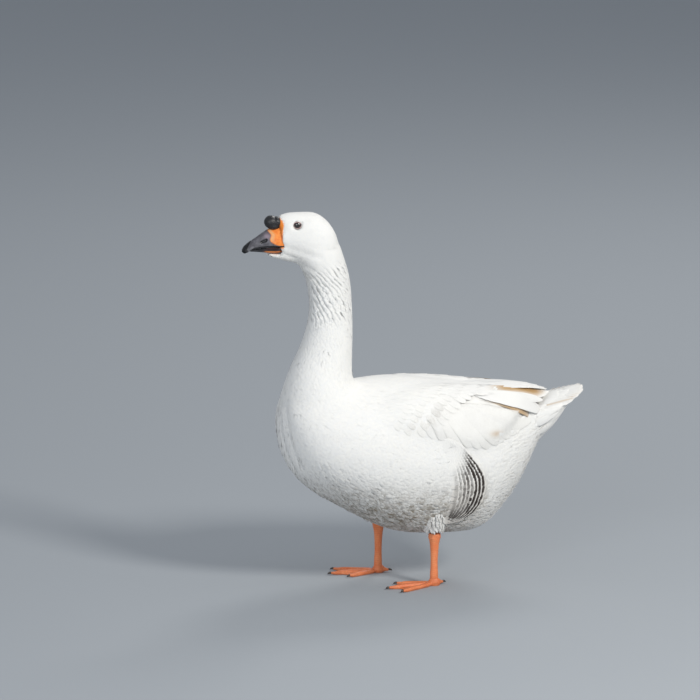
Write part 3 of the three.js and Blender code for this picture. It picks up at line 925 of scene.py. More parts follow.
def furrowPull(roots, normals):
    # Neck feathers gather on the ridges between the furrows.
    mask = neckMask(roots)
    for _ in range(3):
        phase = furrowPhase(roots, spineFields(roots)[2])
        off = phase - np.floor(phase) - 0.5
        around = unit(flatten(backwards, normals))
        roots, normals = outer.nearest(roots - around * (off * neckTurn["pitch"] * 0.2 * mask)[:, None])
    return roots, normals


def makeSmallFeathers():
    roots, normals = scatterRoots()
    keep = ~bareOfFeathers(roots, normals)
    roots, normals = furrowPull(roots[keep], normals[keep])
    style = coatStyle(roots, normals)
    points, facing = layFeathers(roots, normals, style, lieOfCoat(roots, normals))
    tint = chance.random(len(roots))
    clear = np.minimum(lidShare(points, "left"), lidShare(points, "right")).min(axis=1) > 1.04
    x, y, z = roots.T
    places = {
        "coat_head": style["head"] > 0.5, "coat_neck": style["neck"] > 0.5,
        "coat_sides": (np.abs(normals[:, 0]) > 0.8) & (np.abs(y) < 130), "coat_breast": y < -95,
        "coat_belly": (y < 75) & (normals[:, 2] < 0.1), "coat_back": normals[:, 2] > 0.1,
        "coat_rear": np.ones(len(roots), dtype=bool),
    }
    left = clear
    for name, place in places.items():
        part = left & place
        left = left & ~place
        makeCoat(name, roots[part], points[part], facing[part], style["calm"][part], tint[part])


makeSmallFeathers()

# Large feathers: where the points of each cross section lie from edge to edge, and the shaft's height.
vane = {
    "across": (-1, -0.8, -0.56, -0.3, -0.08, 0.08, 0.3, 0.56, 0.8, 1),
    "under": (0.8, 0.45, 0, -0.45, -0.8), "shaft": 0.35,
}
vaneWide = len(vane["across"]) + len(vane["under"])
# A feather's shape where its row says nothing else, in millimetres: the rise of its two edges, root and tip,
# and its camber and thickness. Then the lean of its shaft, its raggedness, and how and where it rounds off.
vaneStyle = {
    "edge": 1.6, "tuck": -1.8, "root": -2.5, "tip": 0.0, "camber": 0.8, "thick": 0.5, "lean": 0.18,
    "ragged": 0.05, "power": 2.2, "roundFrom": 0.7,
}


def alongSurface(rootPlace, tipPlace, bow, count):
    # Stations between two places given by their distance along the body and their turn round it.
    share = easedSteps(count)
    y = rootPlace[0] + (tipPlace[0] - rootPlace[0]) * share
    turn = rootPlace[1] + (tipPlace[1] - rootPlace[1]) * share + bow * 4 * share * (1 - share)
    places = []
    for at, angle in zip(y, turn):
        found = outer.fromOutside(at, angle)
        places.append(found if found is not None else places[-1] + np.array((0, 4, 1)))
    return share, np.array(places)


def outline(share, roundFrom, power):
    rise = np.clip(share / 0.2, 0.05, 1) ** 0.6
    fall = np.clip((share - roundFrom) / (1 - roundFrom), 0, 1)
    return rise * np.sqrt(np.clip(1 - fall**power, 0.004, 1))


def shapeVane(share, centres, normals, style, drape=False):
    # One feather: a thin closed blade with a raised shaft, laid along its stations.
    style = {**vaneStyle, **style}
    flows = unit(np.gradient(centres, axis=0))
    normals = unit(flatten(normals, flows))
    side = np.cross(normals, flows)
    half = style["width"] / 2 * outline(share, style["roundFrom"], style["power"])
    ragged = 1 - style["ragged"] * chance.random(len(share)) * (share > 0.3)
    across = np.array(vane["across"])
    under = np.array(vane["under"])
    leaned = np.where(across > 0, across * (1 + style["lean"]), across * (1 - style["lean"]))
    places = centres[:, None] + side[:, None] * (leaned[None, :, None] * (half * ragged)[:, None, None])
    directions = np.repeat(normals[:, None], len(across), axis=1)
    if drape:
        flat, flatNormals = outer.nearest(places.reshape(-1, 3))
        places = flat.reshape(places.shape)
        directions = flatNormals.reshape(places.shape)
    tilt = (style["edge"] + style["tuck"]) / 2 - (style["edge"] - style["tuck"]) / 2 * leaned
    rise = style["root"] * (1 - share) ** 2 + style["tip"] * share**2
    camber = style["camber"] * (1 - across**2)
    height = rise[:, None] + (tilt + camber)[None] * np.clip(share * 3, 0.2, 1)[:, None]
    thick = style["thick"] * (1 - 0.6 * share)[:, None]
    shaft = vane["shaft"] * bell((across, 0, 0.12))[None] * (1 - share)[:, None] ** 0.5
    body = (1 - np.abs(across) ** 3)[None] * thick
    top = places + directions * (height + body * 0.5 + shaft)[..., None]
    pick = [int(np.argmin(np.abs(across - place))) for place in under]
    deep = thick * 0.5 + 0.3 * (1 - across[pick] ** 2)[None]
    low = places[:, pick] - directions[:, pick] * (deep - height[:, pick])[..., None]
    reach = np.repeat(reachOf(centres)[:, None], vaneWide, 1)
    beside = np.concatenate([leaned, under])[None] * half[:, None]
    shares = np.broadcast_arrays(np.concatenate([across, under])[None], share[:, None])
    facing = directions + side[:, None] * (0.07 * across[None, :, None])
    facing = np.concatenate([facing, -directions[:, pick]], axis=1)
    return {
        "points": np.concatenate([top, low], axis=1).reshape(-1, 3),
        "local": np.stack([beside, reach], -1).reshape(-1, 2),
        "shares": np.stack(shares, -1).reshape(-1, 2), "facing": unit(facing.reshape(-1, 3)),
    }


def vaneFaces(count):
    faces = []
    for ring in range(0, (count - 1) * vaneWide, vaneWide):
        for corner in range(vaneWide):
            a, b = ring + corner, ring + (corner + 1) % vaneWide
            faces.append((a, a + vaneWide, b + vaneWide, b))
    faces.append(tuple(range(vaneWide)))
    faces.append(tuple(reversed(range((count - 1) * vaneWide, count * vaneWide))))
    return faces


def vaneSharp(edges):
    rim = np.isin(edges % vaneWide, (0, len(vane["across"]) - 1))
    return rim.all(axis=1) & (edges[:, 0] % vaneWide == edges[:, 1] % vaneWide)


def makeVanes(name, vanes, side="left", replaced=(), calm=0.4):
    # Joins feathers into one piece. The right side's are shaped on the left and turned over here.
    arrays = {key: np.stack([one[key] for one in vanes]) for key in ("points", "local", "shares", "facing")}
    points, local, shares, facing = arrays.values()
    faces = vaneFaces(points.shape[1] // vaneWide)
    if side == "right":
        points, facing = points * mirror, facing * mirror
        faces = [tuple(reversed(face)) for face in faces]
    columns = 6
    rows = math.ceil(len(vanes) / columns)
    cell = np.arange(len(vanes))
    corner = np.stack([cell % columns, cell // columns], 1)[:, None]
    inset = np.stack([shares[..., 1], shares[..., 0] * 0.5 + 0.5], -1) * 0.88 + 0.06
    bake = (corner + inset) / np.array((columns, rows))
    mesh = joinedMesh(name, points, faces, {"OFBake": bake, "Vane": local * 0.01}, vaneSharp)
    for label in ("tan", "bar", "soil", "tint"):
        values = [np.broadcast_to(one.get(label, 0.0), points.shape[1]) for one in vanes]
        shadeMesh(mesh, **{label: np.concatenate(values)})
    addObject(name, mesh, vaneFinish, replaced)
    bendNormals(mesh, facing, calm)


# Rows of wing feathers, from the lowest feather to the highest. Places are distances along the body in
# millimetres and turns round it in degrees: 0 is the side, 90 the back. A path's places with three numbers
# are x, y and z behind the body.
wingRows = [
    {
        "name": "secondaries", "count": 12, "width": (30, 31),
        "tips": [(38, 20), (83, 12), (123, 8), (149, 7), (172, 8), (194, 9.5), (213, 11)],
        "roots": [(8, 44), (28, 46), (46, 47), (62, 47), (76, 46.5), (86, 46), (94, 45)], "bow": 1.5,
        "style": {"edge": 0.6, "tuck": -1.0, "power": 3.0, "roundFrom": 0.8, "root": -1.5, "camber": 0.5},
    },
    {
        "name": "primaries",
        "width": (17, 17),
        "paths": [
            [(100, 60), (150, 60), (47, 186, 322), (36, 216, 314.5), (26, 240, 309.5), (14, 257, 308.5)],
            [(100, 62), (150, 62), (42, 188, 323.5), (31, 218, 316.5), (21, 242, 311.5), (10, 262, 310)],
            [(100, 64), (150, 65), (34, 190, 324), (24, 220, 318.5), (14, 244, 313), (6, 264, 311.5)],
        ],
        "facing": (0.62, 0.12, 0.77),
        "style": {"edge": 0.5, "tuck": -0.3, "power": 1.5, "roundFrom": 0.55, "camber": 1.0},
    },
    {
        "name": "inner middle", "width": (18, 18),
        "paths": [[(100, 60), (150, 54.5), (186, 48), (31, 245, 303)]], "facing": (0.78, 0.3, 0.5),
        "style": {"edge": -1.0, "tuck": -1.0, "power": 2.0, "roundFrom": 0.66, "root": -4, "tip": -0.6},
    },
    # A feather under the middle one, coloured with tan stain and painted shade that show in the lower gap.
    {
        "name": "stained",
        "width": (20, 20),
        "paths": [[(97, 57), (150, 48), (188, 34), (43, 226, 274)]],
        "facing": (0.86, 0.3, 0.4),
        "style": {
            "edge": -1.6, "tuck": -1.6, "power": 2.0, "roundFrom": 0.6, "camber": 0.4, "root": -4,
            "tip": -0.6,
        },
    },
    {
        "name": "middle", "width": (30, 30),
        "paths": [[(100, 58.5), (150, 51), (186, 41.5), (37, 241, 283)]], "facing": (0.78, 0.3, 0.5),
        "style": {"edge": 0.3, "tuck": 0.3, "power": 2.0, "roundFrom": 0.62, "camber": 1.0, "tip": 0.6},
    },
    {
        "name": "tertials",
        "width": (24, 24),
        "paths": [
            [(88, 73), (130, 76), (29, 170, 331.5), (23, 198, 329), (14, 230, 323.5), (5, 260, 315.5)],
            [(82, 77), (120, 81), (22, 160, 333), (17, 190, 331), (12, 220, 326.5), (6, 247, 320.5)],
            [(74, 81), (110, 85), (15, 150, 334), (11, 178, 332.5), (8, 205, 330), (7, 230, 325.5)],
            [(66, 85), (100, 88), (8, 140, 334.5), (5, 165, 333.5), (4, 190, 331.5), (5, 214, 328.5)],
        ],
        "facing": (0.2, 0.1, 0.97),
        "style": {"edge": 0.7, "tuck": -0.8, "power": 1.7, "roundFrom": 0.6, "camber": 1.2},
    },
]
# Coverts: name, count, width, slant, length and bow, then the tips from the lowest to the highest.
covertRows = [
    ("greater", 14, (20, 21), (56, 5), (42, 56), 0.8,
     [(20, 20), (38, 29), (56, 38), (78, 46), (99, 53), (114, 60), (124, 68), (128, 76)]),
    ("median", 13, (18, 19), (52, 4), (36, 48), 0.8,
     [(0, 20), (19, 31), (37, 41), (59, 49), (80, 57), (94, 66), (100, 76)]),
    ("lesser", 13, (15, 18), (46, 3), (30, 40), 0.6,
     [(-22, 20), (-6, 32), (8, 43), (30, 53), (52, 62), (66, 73)]),
    ("front", 12, (14, 17), (40, 3), (26, 36), 0.6,
     [(-42, 21), (-30, 32), (-14, 44), (6, 55), (26, 66)]),
]
covertStyle = {"edge": 0.35, "tuck": -0.6, "tip": 0.3, "root": -3, "camber": 0.4}
for name, count, width, slant, length, bow, tips in covertRows:
    row = {"name": name + " coverts", "count": count, "width": width, "slant": slant, "length": length}
    wingRows.append({**row, "bow": bow, "tips": tips, "style": covertStyle})
wingStations = 16
perDegree = 2.0  # millimetres round the body for a degree of turn

# Tan stain and painted shade in the gaps between the wing's feathers: the bands' upper and lower edges, and
# the primaries' own.
gapBands = [
    (
        [(100, 63), (160, 66), (203, 69.5), (250, 68), (266, 64)],
        [(100, 63), (160, 60.5), (203, 55), (250, 54), (266, 60)],
    ),
    ([(100, 60), (145, 52), (175, 45), (217, 31)], [(100, 54), (145, 41), (175, 31), (217, 12)]),
]
primaryBand = (
    [(117, 335), (188, 333), (217, 328), (240, 322), (260, 316)],
    [(117, 334), (170, 324), (199, 317), (230, 305), (259, 308)],
)


def gapTan(points):
    # Tan stain with painted shade between each band's edges, where the feathers above shade those below.
    y = points[:, 1]
    turn = roundBody(points)
    stain = np.zeros(len(points))
    for topRows, lowRows in gapBands:
        first, last = topRows[0][0], topRows[-1][0]
        low = rowsAt(y, lowRows)
        depth = (turn - low) / np.maximum(rowsAt(y, topRows) - low, 0.5)
        ends = fade(y, first, first + 26) * fade(y, last + 4, last - 22) * ((y > first) & (y < last + 6))
        stain = np.maximum(stain, ends * fade(depth, 0.0, 0.75) * fade(depth, 1.6, 1.2))
    return stain


def wingShades(name, points, shares):
    # The tan stain with painted shade in the wing's gaps, and the painted shadow on one wing feather.
    x, y, z = points.T
    if name == "secondaries":
        spot = bell((y, 134, 10), (z, 265, 5))
        # Secondaries: a brown spot and the gap's tan, plus painted shade that greys each feather, most along
        # its edges.
        return np.maximum(gapTan(points), 0.55 * spot), 0.10 + 0.16 * fade(np.abs(shares[:, 0]), 0.55, 1.0)
    if name == "primaries":
        # Tan stain with painted shade on the primaries, deepest under the tertials' edge.
        top, low = (rowsAt(y, rows) for rows in primaryBand)
        tan = fade((z - low) / np.maximum(top - low, 1), 0.05, 0.6)
        return tan * fade(y, 135, 175) * fade(y, 264, 232), 0.0
    if name == "stained":
        # Tan stain with painted shade, seen in the gap under the middle feather.
        return 0.85 * fade(y, 112, 168) * fade(y, 228, 196), 0.0
    if name.endswith("coverts"):
        # Painted shadow: darker towards each covert's tip, in a band over the shoulder.
        return 0.0, 0.5 * fade(shares[:, 1], 0.35, 0.95) * bell((z - 0.4 * y, 297, 17), (y, 5, 40))
    return 0.0, 0.0


def freePath(controls, facing, count):
    # A feather's line through places on the surface (two numbers) and in the air behind it (three).
    places = [control if len(control) == 3 else outer.fromOutside(*control) for control in controls]
    places = np.array(places, dtype=float)
    reach = reachOf(places)
    share = easedSteps(count)
    centres = curveRows(np.column_stack([reach / reach[-1], places]), share)
    _, normals = outer.nearest(places[:1])
    blend = fade(share, 0.1, 0.6)[:, None]
    return share, centres, unit(normals * (1 - blend) + unit(np.array(facing)) * blend)


def wingPath(row, share, index):
    if "paths" in row:
        return freePath(row["paths"][index], row["facing"], wingStations)
    tip = columnsAt(share, np.linspace(0, 1, len(row["tips"])), row["tips"])
    tip += chance.normal(0, 1, 2) * (1.4, 0.4)
    if "roots" in row:
        root = columnsAt(share, np.linspace(0, 1, len(row["roots"])), row["roots"])
    else:
        slant = math.radians(np.interp(share, (0, 1), row["slant"]))
        length = np.interp(share, (0, 1), row["length"])
        root = tip + length * np.array((-math.cos(slant), math.sin(slant) / perDegree))
    along, centres = alongSurface(root, tip, row["bow"], wingStations)
    return along, centres, outer.nearest(centres)[1]


def makeWing(side):
    vanes = []
    for row in wingRows:
        count = len(row["paths"]) if "paths" in row else row["count"]
        for index in range(count):
            share = index / max(count - 1, 1)
            path = wingPath(row, share, index)
            style = {**row["style"], "width": np.interp(share, (0, 1), row["width"])}
            one = shapeVane(*path, style, drape="paths" not in row)
            one["tan"], one["soil"] = wingShades(row["name"], one["points"], one["shares"])
            vanes.append({**one, "tint": chance.random() * 0.6})
    makeVanes("wing_feathers_" + side, vanes, side, ["quills_" + side], 0.66)


for side in sides:
    makeWing(side)
print("wings made")

flankStations = np.array([0, 0.2, 0.42, 0.6, 0.66, 0.72, 0.82, 0.905, 0.935, 0.965, 0.99])
flankVane = {
    "edge": 0.5, "tuck": -0.3, "root": -5.5, "power": 6.0, "roundFrom": 0.76, "lean": 0.0, "camber": 0.4,
    "ragged": 0.12, "thick": 0.45,
}


def marchBack(tip, direction, length, shares):
    # Stations of a feather that ends at a place on the surface, found backwards along it.
    place = tip[None]
    _, normal = outer.nearest(place)
    flow = unit(flatten(-direction[None], normal))
    places, normals = [place[0]], [normal[0]]
    for step in -np.diff(shares[::-1]):
        place, normal = outer.nearest(place + flow * step * length)
        flow = unit(flatten(flow, normal))
        places.append(place[0])
        normals.append(normal[0])
    return np.array(places[::-1]), np.array(normals[::-1])


def barShade(row, share, within):
    # The dark bar of one flank feather: within is how far inside its row's edge each point lies.
    low = fade(share, 0.62, 0.86)
    depth = np.interp(row, (0, 2, 3, 5, flank["rows"] - 1), (1.0, 1.0, 1.0, 0.9, 0.5))
    depth *= 1 - 0.55 * chance.random() * (row > 2)
    depth = np.maximum(depth, low * np.interp(row, (4, 7), (1.0, 0.95)))
    depth *= fade(share, 0.12 + 0.015 * row, 0.26 + 0.02 * row) * fade(share, 1.0, 0.95)
    pale = np.interp(row, (0, 2, 6), (1.5, 1.6, 2.2)) * (1 - 0.85 * low) * (1 + 0.25 * chance.normal())
    return depth * fade(within, pale - 0.5, pale + 0.6) * fade(within, flank["step"] + 4, flank["step"] + 1)


def makeFlank(side):
    vanes = []
    reach = reachOf(lobe)
    for row in range(flank["rows"]):
        inset = row * flank["step"]
        for at in np.arange(4 + 3.7 * (row % 2), reach[-1] - 2, flank["spacing"]):
            share = at / reach[-1]
            edge, root, outward = (columnsAt(at, reach, line) for line in (lobe, lobeChord, lobeOutward))
            spot = edge + (root - edge) * (inset + chance.normal(0, 0.6)) / flank["breadth"]
            found = outer.tree.ray_cast(Vector((300, *spot)), Vector((-1, 0, 0)))[0]
            if found is None:
                continue
            direction = np.array((0.0, *unit(unit(outward) * 0.75 + np.array((0.62, -0.22)))))
            length = flank["length"] * (1 + 0.08 * chance.normal())
            path = marchBack(np.array(found), direction, length, flankStations)
            width = flank["width"] * (1 + 0.08 * chance.normal())
            style = {**flankVane, "width": width, "tip": 2.0 - 0.2 * row}
            one = shapeVane(flankStations, *path, style, drape=True)
            one["bar"] = barShade(row, share, lobeDepth(one["points"])[0] - inset)
            one["tint"] = chance.random() * 0.6
            vanes.append({**one, "tan": 0.13 * fade(share, 0.3, 0.6), "soil": 0.25 * fade(share, 0.4, 0.8)})
    makeVanes("flank_feathers_" + side, vanes, side)


for side in sides:
    makeFlank(side)
print("flanks made")

# The tail's fan: half its width, y and z at its root and tip, then how far its outer feathers droop and
# fall short.
tailFan = {"root": (20, 212, 286), "tip": (45, 326, 314), "droop": 10, "corner": 32, "stations": 16}
tailLayers = [
    {"count": 16, "reach": 1.0, "width": 21, "lift": 0.0, "half": 1.0, "ragged": 0.2},
    {"count": 9, "reach": 0.76, "width": 19, "lift": 2.0, "half": 0.8, "ragged": 0.1},
    {"count": 8, "reach": 0.62, "width": 18, "lift": 3.4, "half": 0.7, "ragged": 0.1},
    {"count": 11, "reach": 0.86, "width": 20, "lift": -3.5, "half": 0.9, "ragged": 0.12},
    {"count": 9, "reach": 0.66, "width": 20, "lift": -6.5, "half": 0.8, "ragged": 0.12},
]


def tailPath(share, reach, lift, count):
    # Stations of a tail feather: share runs over the fan from -1 to 1, reach is how far back its tip lies.
    along = easedSteps(count)
    full = along * reach
    arch = share**2
    root, tip = (np.array(tailFan[end]) for end in ("root", "tip"))
    half, y, z = (root + (tip - root) * full[:, None]).T
    across = share * half
    y = y - tailFan["corner"] * arch * full
    z = z - tailFan["droop"] * arch * (0.4 + 0.6 * full)
    normals = np.tile(unit(np.array((share * 0.42, -0.16, 1.0))), (count, 1))
    return along, np.stack([across, y, z + lift], 1), normals


def makeTail():
    vanes = []
    for layer in tailLayers:
        for index in range(layer["count"]):
            share = (2 * index / (layer["count"] - 1) - 1) * layer["half"]
            reach = layer["reach"] * (1 + 0.022 * chance.normal())
            path = tailPath(share, reach, layer["lift"] + 3.0 * (1 - abs(share)), tailFan["stations"])
            sign = -1 if share > 0 else 1
            style = {
                "width": layer["width"], "ragged": layer["ragged"], "edge": 0.9 * sign,
                "tuck": -0.9 * sign, "lean": 0.15 * sign, "root": -1.5, "tip": 0.4, "camber": 0.9,
                "power": 1.9, "roundFrom": 0.74, "thick": 0.6,
            }
            one = shapeVane(*path, style)
            beside, along = one["shares"].T
            tan = 0.55 * fade(abs(share), 0.55, 0.95) * bell((beside, 0, 0.22))
            tan = np.maximum(tan, 0.08 * fade(along, 0.8, 1.0))
            vanes.append({**one, "tan": tan * (layer["lift"] <= 0), "tint": chance.random() * 0.6})
    makeVanes("tail_feathers", vanes, replaced=["tail"])


# Undertail: how far back each row reaches, its lift and its count, and where the rows start round the body
# and along it.
undertail = {
    "rows": ((0.95, -1.5, 11), (0.86, 0.0, 10), (0.74, 1.2, 10), (0.6, 2.0, 8)), "from": (-88, 12),
    "rootY": (247, 222), "stations": 14,
}
undertailVane = {
    "width": 14, "edge": 0.5, "tuck": -0.5, "root": -4, "tip": 0.3, "lean": 0.0, "ragged": 0.2,
    "power": 1.6, "roundFrom": 0.5, "thick": 0.45,
}


def makeUndertail():
    # Long soft feathers that run from the vent up to the tail's underside and close its sides.
    vanes = []
    along = easedSteps(undertail["stations"], 1.3)
    for reach, lift, count in undertail["rows"]:
        for place in range(2 * count):
            turned = 1 if place < count else mirror
            share = (place % count + 0.5) / count
            degrees = np.interp(share, (0, 1), undertail["from"])
            rootY = np.interp(share, (0, 1), undertail["rootY"]) + 5 * chance.normal()
            root = outer.fromOutside(rootY, degrees)
            tip = np.array((3 + 39 * share, 301 - 14 * share**2, 301 - 3 * share**2))
            turn = math.radians(degrees)
            out = unit(np.array((math.cos(turn), 0.25, math.sin(turn))))
            full = (along * reach * (1 + 0.03 * chance.normal()))[:, None]
            centres = root + (tip - root) * full + out * (lift + 4.0 * np.sin(np.pi * full) * (0.3 + share))
            normals = np.tile(out * turned, (len(along), 1))
            one = shapeVane(along, centres * turned, normals, undertailVane)
            beside, onward = one["shares"].T
            tan = 0.5 * (reach > 0.8) * fade(onward, 0.45, 0.7) * bell((beside, 0, 0.25))
            vanes.append({**one, "tan": tan, "tint": chance.random() * 0.6})
    makeVanes("undertail_feathers", vanes)


makeTail()
makeUndertail()
print("tail made")

# Rings of tufts round the lower thigh: height, radius and count, and how far out the leg is at each height.
trousers = {
    "rings": ((138, 30, 32), (130, 29, 32), (122, 26, 30), (115, 22, 28), (109, 18, 25)),
    "leg": [(78, 11.2), (90, 12.6), (100, 16.5), (114, 22), (130, 27), (150, 30)], "length": 15,
    "flare": 0.8, "stations": 8,
}
trousersVane = {
    "width": 6, "edge": 0.4, "tuck": -0.4, "root": -3, "tip": 0.4, "lean": 0.0, "camber": 0.7,
    "ragged": 0.16, "power": 1.5, "roundFrom": 0.45, "thick": 0.3,
}


def makeTrousers(side):
    # Tufts round the lower thigh that hang down to the hock.
    leg = np.array((abs(middleOf("shank_" + side)[0]), middleOf("thigh_" + side)[1] + 3, 0))
    along = np.linspace(0, 1, trousers["stations"])
    vanes = []
    for height, radius, count in trousers["rings"]:
        for index in range(count):
            turn = 2 * math.pi * (index + 0.5 * chance.random()) / count
            z = height - trousers["length"] * (1 + 0.15 * chance.normal()) * along
            reach = np.minimum(rowsAt(z, trousers["leg"]) + trousers["flare"] * along, radius + 3)
            sway = turn + math.radians(9 * chance.normal()) * along
            heading = np.stack([np.cos(sway), np.sin(sway), 0 * along], 1)
            centres = leg + heading * reach[:, None] * np.array((1, 1.08, 1)) + np.outer(z, upwards)
            one = shapeVane(along, centres, unit(heading + np.array((0, 0, 0.15))), trousersVane)
            vanes.append({**one, "soil": 0.15 + 0.25 * chance.random(), "tint": chance.random()})
    makeVanes("thigh_feathers_" + side, vanes, side)


for side in sides:
    makeTrousers(side)

# Bill sections on the head's axes: y, height of the back and of the belly, and half the width.
upperRows = [
    (-30, 26, -7, 13.0), (-38, 28, -7.6, 15.0), (-45, 29, -8.2, 16.0), (-50, 28.8, -8.2, 15.7),
    (-62, 25.5, -7.6, 14.2), (-75, 20, -7.8, 12.4), (-88, 11, -9.2, 11.4), (-100, 2.8, -12.2, 10.6),
    (-107.5, -3.0, -16.0, 8.4), (-112, -7.4, -17.2, 5.6), (-114.2, -11.4, -15.4, 2.2),
]
lowerRows = [
    (-30, -9.5, -15, 6.0), (-38, -9.6, -15.6, 7.4), (-46, -9.7, -16.8, 9.4), (-53, -9.8, -18.6, 11.2),
    (-66, -9.6, -18.8, 10.8), (-80, -9.8, -17.2, 9.6), (-94, -11.4, -15.8, 7.4), (-100, -12.6, -15.4, 4.6),
    (-102.5, -13.4, -14.8, 1.6),
]
billStyle = {"step": 0.9, "segments": 72, "upperSquareness": 1.75, "upperWidest": 0.14, "lowerWidest": 0.72}
nostril = {"y": -78.6, "z": 3.8, "long": 6.6, "high": 2.7, "slope": 24, "depth": 2.4}
# The edge of the bill's orange base: z and y.
orangeRows = [
    (-8, -44), (-5, -50), (-3.7, -58), (2.7, -66.3), (7.6, -68.2), (14, -65.5), (19.5, -70.5), (24, -72),
    (34, -72),
]


def circleSteps(count):
    return np.arange(count) / count * 2 * math.pi


def sectionRing(y, back, belly, half, topSquare, lowSquare, widestShare):
    angle = circleSteps(billStyle["segments"])
    c, s = np.cos(angle), np.sin(angle)
    square = np.where(s > 0, topSquare, lowSquare)
    widest = belly + widestShare * (back - belly)
    rise = np.where(s > 0, back - widest, widest - belly)
    x = half * np.sign(c) * np.abs(c) ** (2 / square)
    z = widest + rise * np.sign(s) * np.abs(s) ** (2 / square)
    return np.stack([x, np.full(len(x), y), z], 1)


def addRing(form, places):
    verts = bmesh.ops.create_circle(form, segments=len(places), radius=1)["verts"]
    for vert, place in zip(verts, places):
        vert.co = Vector(place)
    return verts


def bridge(form, first, second):
    edges = {
        edge for loop in (first, second) for vert in loop for edge in vert.link_edges
        if edge.verts[0] in loop and edge.verts[1] in loop
    }
    bmesh.ops.bridge_loops(form, edges=list(edges))


def loftRings(rings):
    # Circles bridged one to the next, with both ends closed.
    form = bmesh.new()
    loops = [addRing(form, ring) for ring in rings]
    for first, second in zip(loops[:-1], loops[1:]):
        bridge(form, first, second)
    bmesh.ops.holes_fill(form, edges=form.edges, sides=0)
    bmesh.ops.recalc_face_normals(form, faces=form.faces)
    return form


def formArrays(form):
    form.normal_update()
    return np.array([vert.co for vert in form.verts]), np.array([vert.normal for vert in form.verts])


def placeForm(form, places):
    for vert, place in zip(form.verts, toFrame(places)):
        vert.co = Vector(place)
    form.normal_update()
    return form


def nostrilReach(points):
    slope = math.radians(nostril["slope"])
    dy, dz = points[:, 1] - nostril["y"], points[:, 2] - nostril["z"]
    along = dy * math.cos(slope) + dz * math.sin(slope)
    up = dz * math.cos(slope) - dy * math.sin(slope)
    return np.hypot(along / nostril["long"], up / nostril["high"]) + 5 * (np.abs(points[:, 0]) < 3)


def wobbleOf(points, size):
    x, y, z = points.T
    coarse = np.sin(x * 0.9 / size + 1.3) * np.sin(y * 1.1 / size)
    return coarse + 0.6 * np.sin(z * 1.9 / size + y * 0.7 / size)


def billMaterial():
    finish = Finish("bill skin", 0.36, Specular_IOR_Level=0.5, Coat_Roughness=0.18)
    cloud = finish.noise(160, 4)
    grey = finish.blend(finish.ramp(cloud, 0.35, 0.7), (0.062, 0.060, 0.070), (0.135, 0.132, 0.148))
    colour = finish.blend(finish.attribute("lilac") * 0.7, grey, (0.32, 0.24, 0.29))
    mottle = finish.ramp(finish.noise(240, 3), 0.3, 0.75)
    orange = finish.blend(mottle, (0.80, 0.19, 0.022), (0.92, 0.30, 0.045))
    orange = finish.blend(finish.attribute("light") * 0.7, orange, (0.72, 0.43, 0.20))
    colour = finish.blend(finish.attribute("orange"), colour, orange)
    colour = finish.blend(finish.attribute("red"), colour, (0.16, 0.030, 0.022))
    dark = finish.attribute("dark")
    colour = finish.blend(dark, colour, (0.0075, 0.0075, 0.0085))
    rough = 0.40 - dark * 0.22 + cloud * 0.08
    bump = finish.noise(1100, 3) * 0.6 + finish.cells(700) * (1 - dark) * 0.5
    return finish.finish(colour, rough, bump, 0.0003, 0.35)


billFinish = billMaterial()


def billSteps(bend, tip, count):
    return np.concatenate([np.arange(-30.0, bend, -billStyle["step"]), np.linspace(bend, tip, count)])


def makeUpperBill():
    # The upper bill with its nail, nostrils, lip and groove.
    at = billSteps(-108, -114.2, 14)
    square = np.interp(at, (-108, -95), (2.1, billStyle["upperSquareness"]))
    rings = [
        sectionRing(y, *shape, squareness, 3.2, billStyle["upperWidest"])
        for y, shape, squareness in zip(at, curveRows(upperRows, at), square)
    ]
    form = loftRings(rings)
    points, normals = formArrays(form)
    x, y, z = points.T
    hole = nostrilReach(points)
    nailBack = -100.5 - 0.06 * x**2 + 0.12 * (z + 6)
    nail = fade(y, nailBack + 0.7, nailBack - 0.7)
    low = z - curveRows(upperRows, np.clip(y, -114, -31))[:, 1]
    lip = fade(low, 4.2, 3.2) * fade(y, -104, -98)
    hollow = bell((y, -90, 9), (z, 0.5, 4.5)) * (np.abs(x) > 3)
    grooved = bell((low, 4.4, 0.7)) * fade(y, -102, -96)
    push = 0.55 * nail - nostril["depth"] * fade(hole, 1.12, 0.72)
    push += 0.38 * bell((hole, 1.45, 0.3)) + 0.35 * lip - 0.7 * hollow - 0.35 * grooved
    push -= 0.45 * bell((y - nailBack, 1.0, 0.6))
    push += 0.10 * wobbleOf(points, 2.2) * (1 - nail)
    mesh = meshFrom(placeForm(form, onHead(points + normals * push[:, None])), "bill_upper_skin")
    base = y - rowsAt(z, orangeRows)
    orange = fade(base + 0.9 * wobbleOf(points, 3.5), -1.0, 1.2) * (1 - lip) * fade(z, -5.6, -4.2)
    light = bell((base, 3, 3.2)) * orange * fade(z, -2, 8)
    lilac = bell((y, -73, 5), (z, 11.5, 5)) * (1 - orange)
    # The nostril hole is painted near-black as painted shade; the nail and the lip are black of their own.
    dark = np.maximum(np.maximum(nail, lip * 0.92), fade(hole, 1.2, 0.98))
    shadeMesh(mesh, orange=orange, light=light, lilac=lilac, dark=dark)
    addObject("bill_upper_skin", mesh, billFinish, ["bill_upper"])


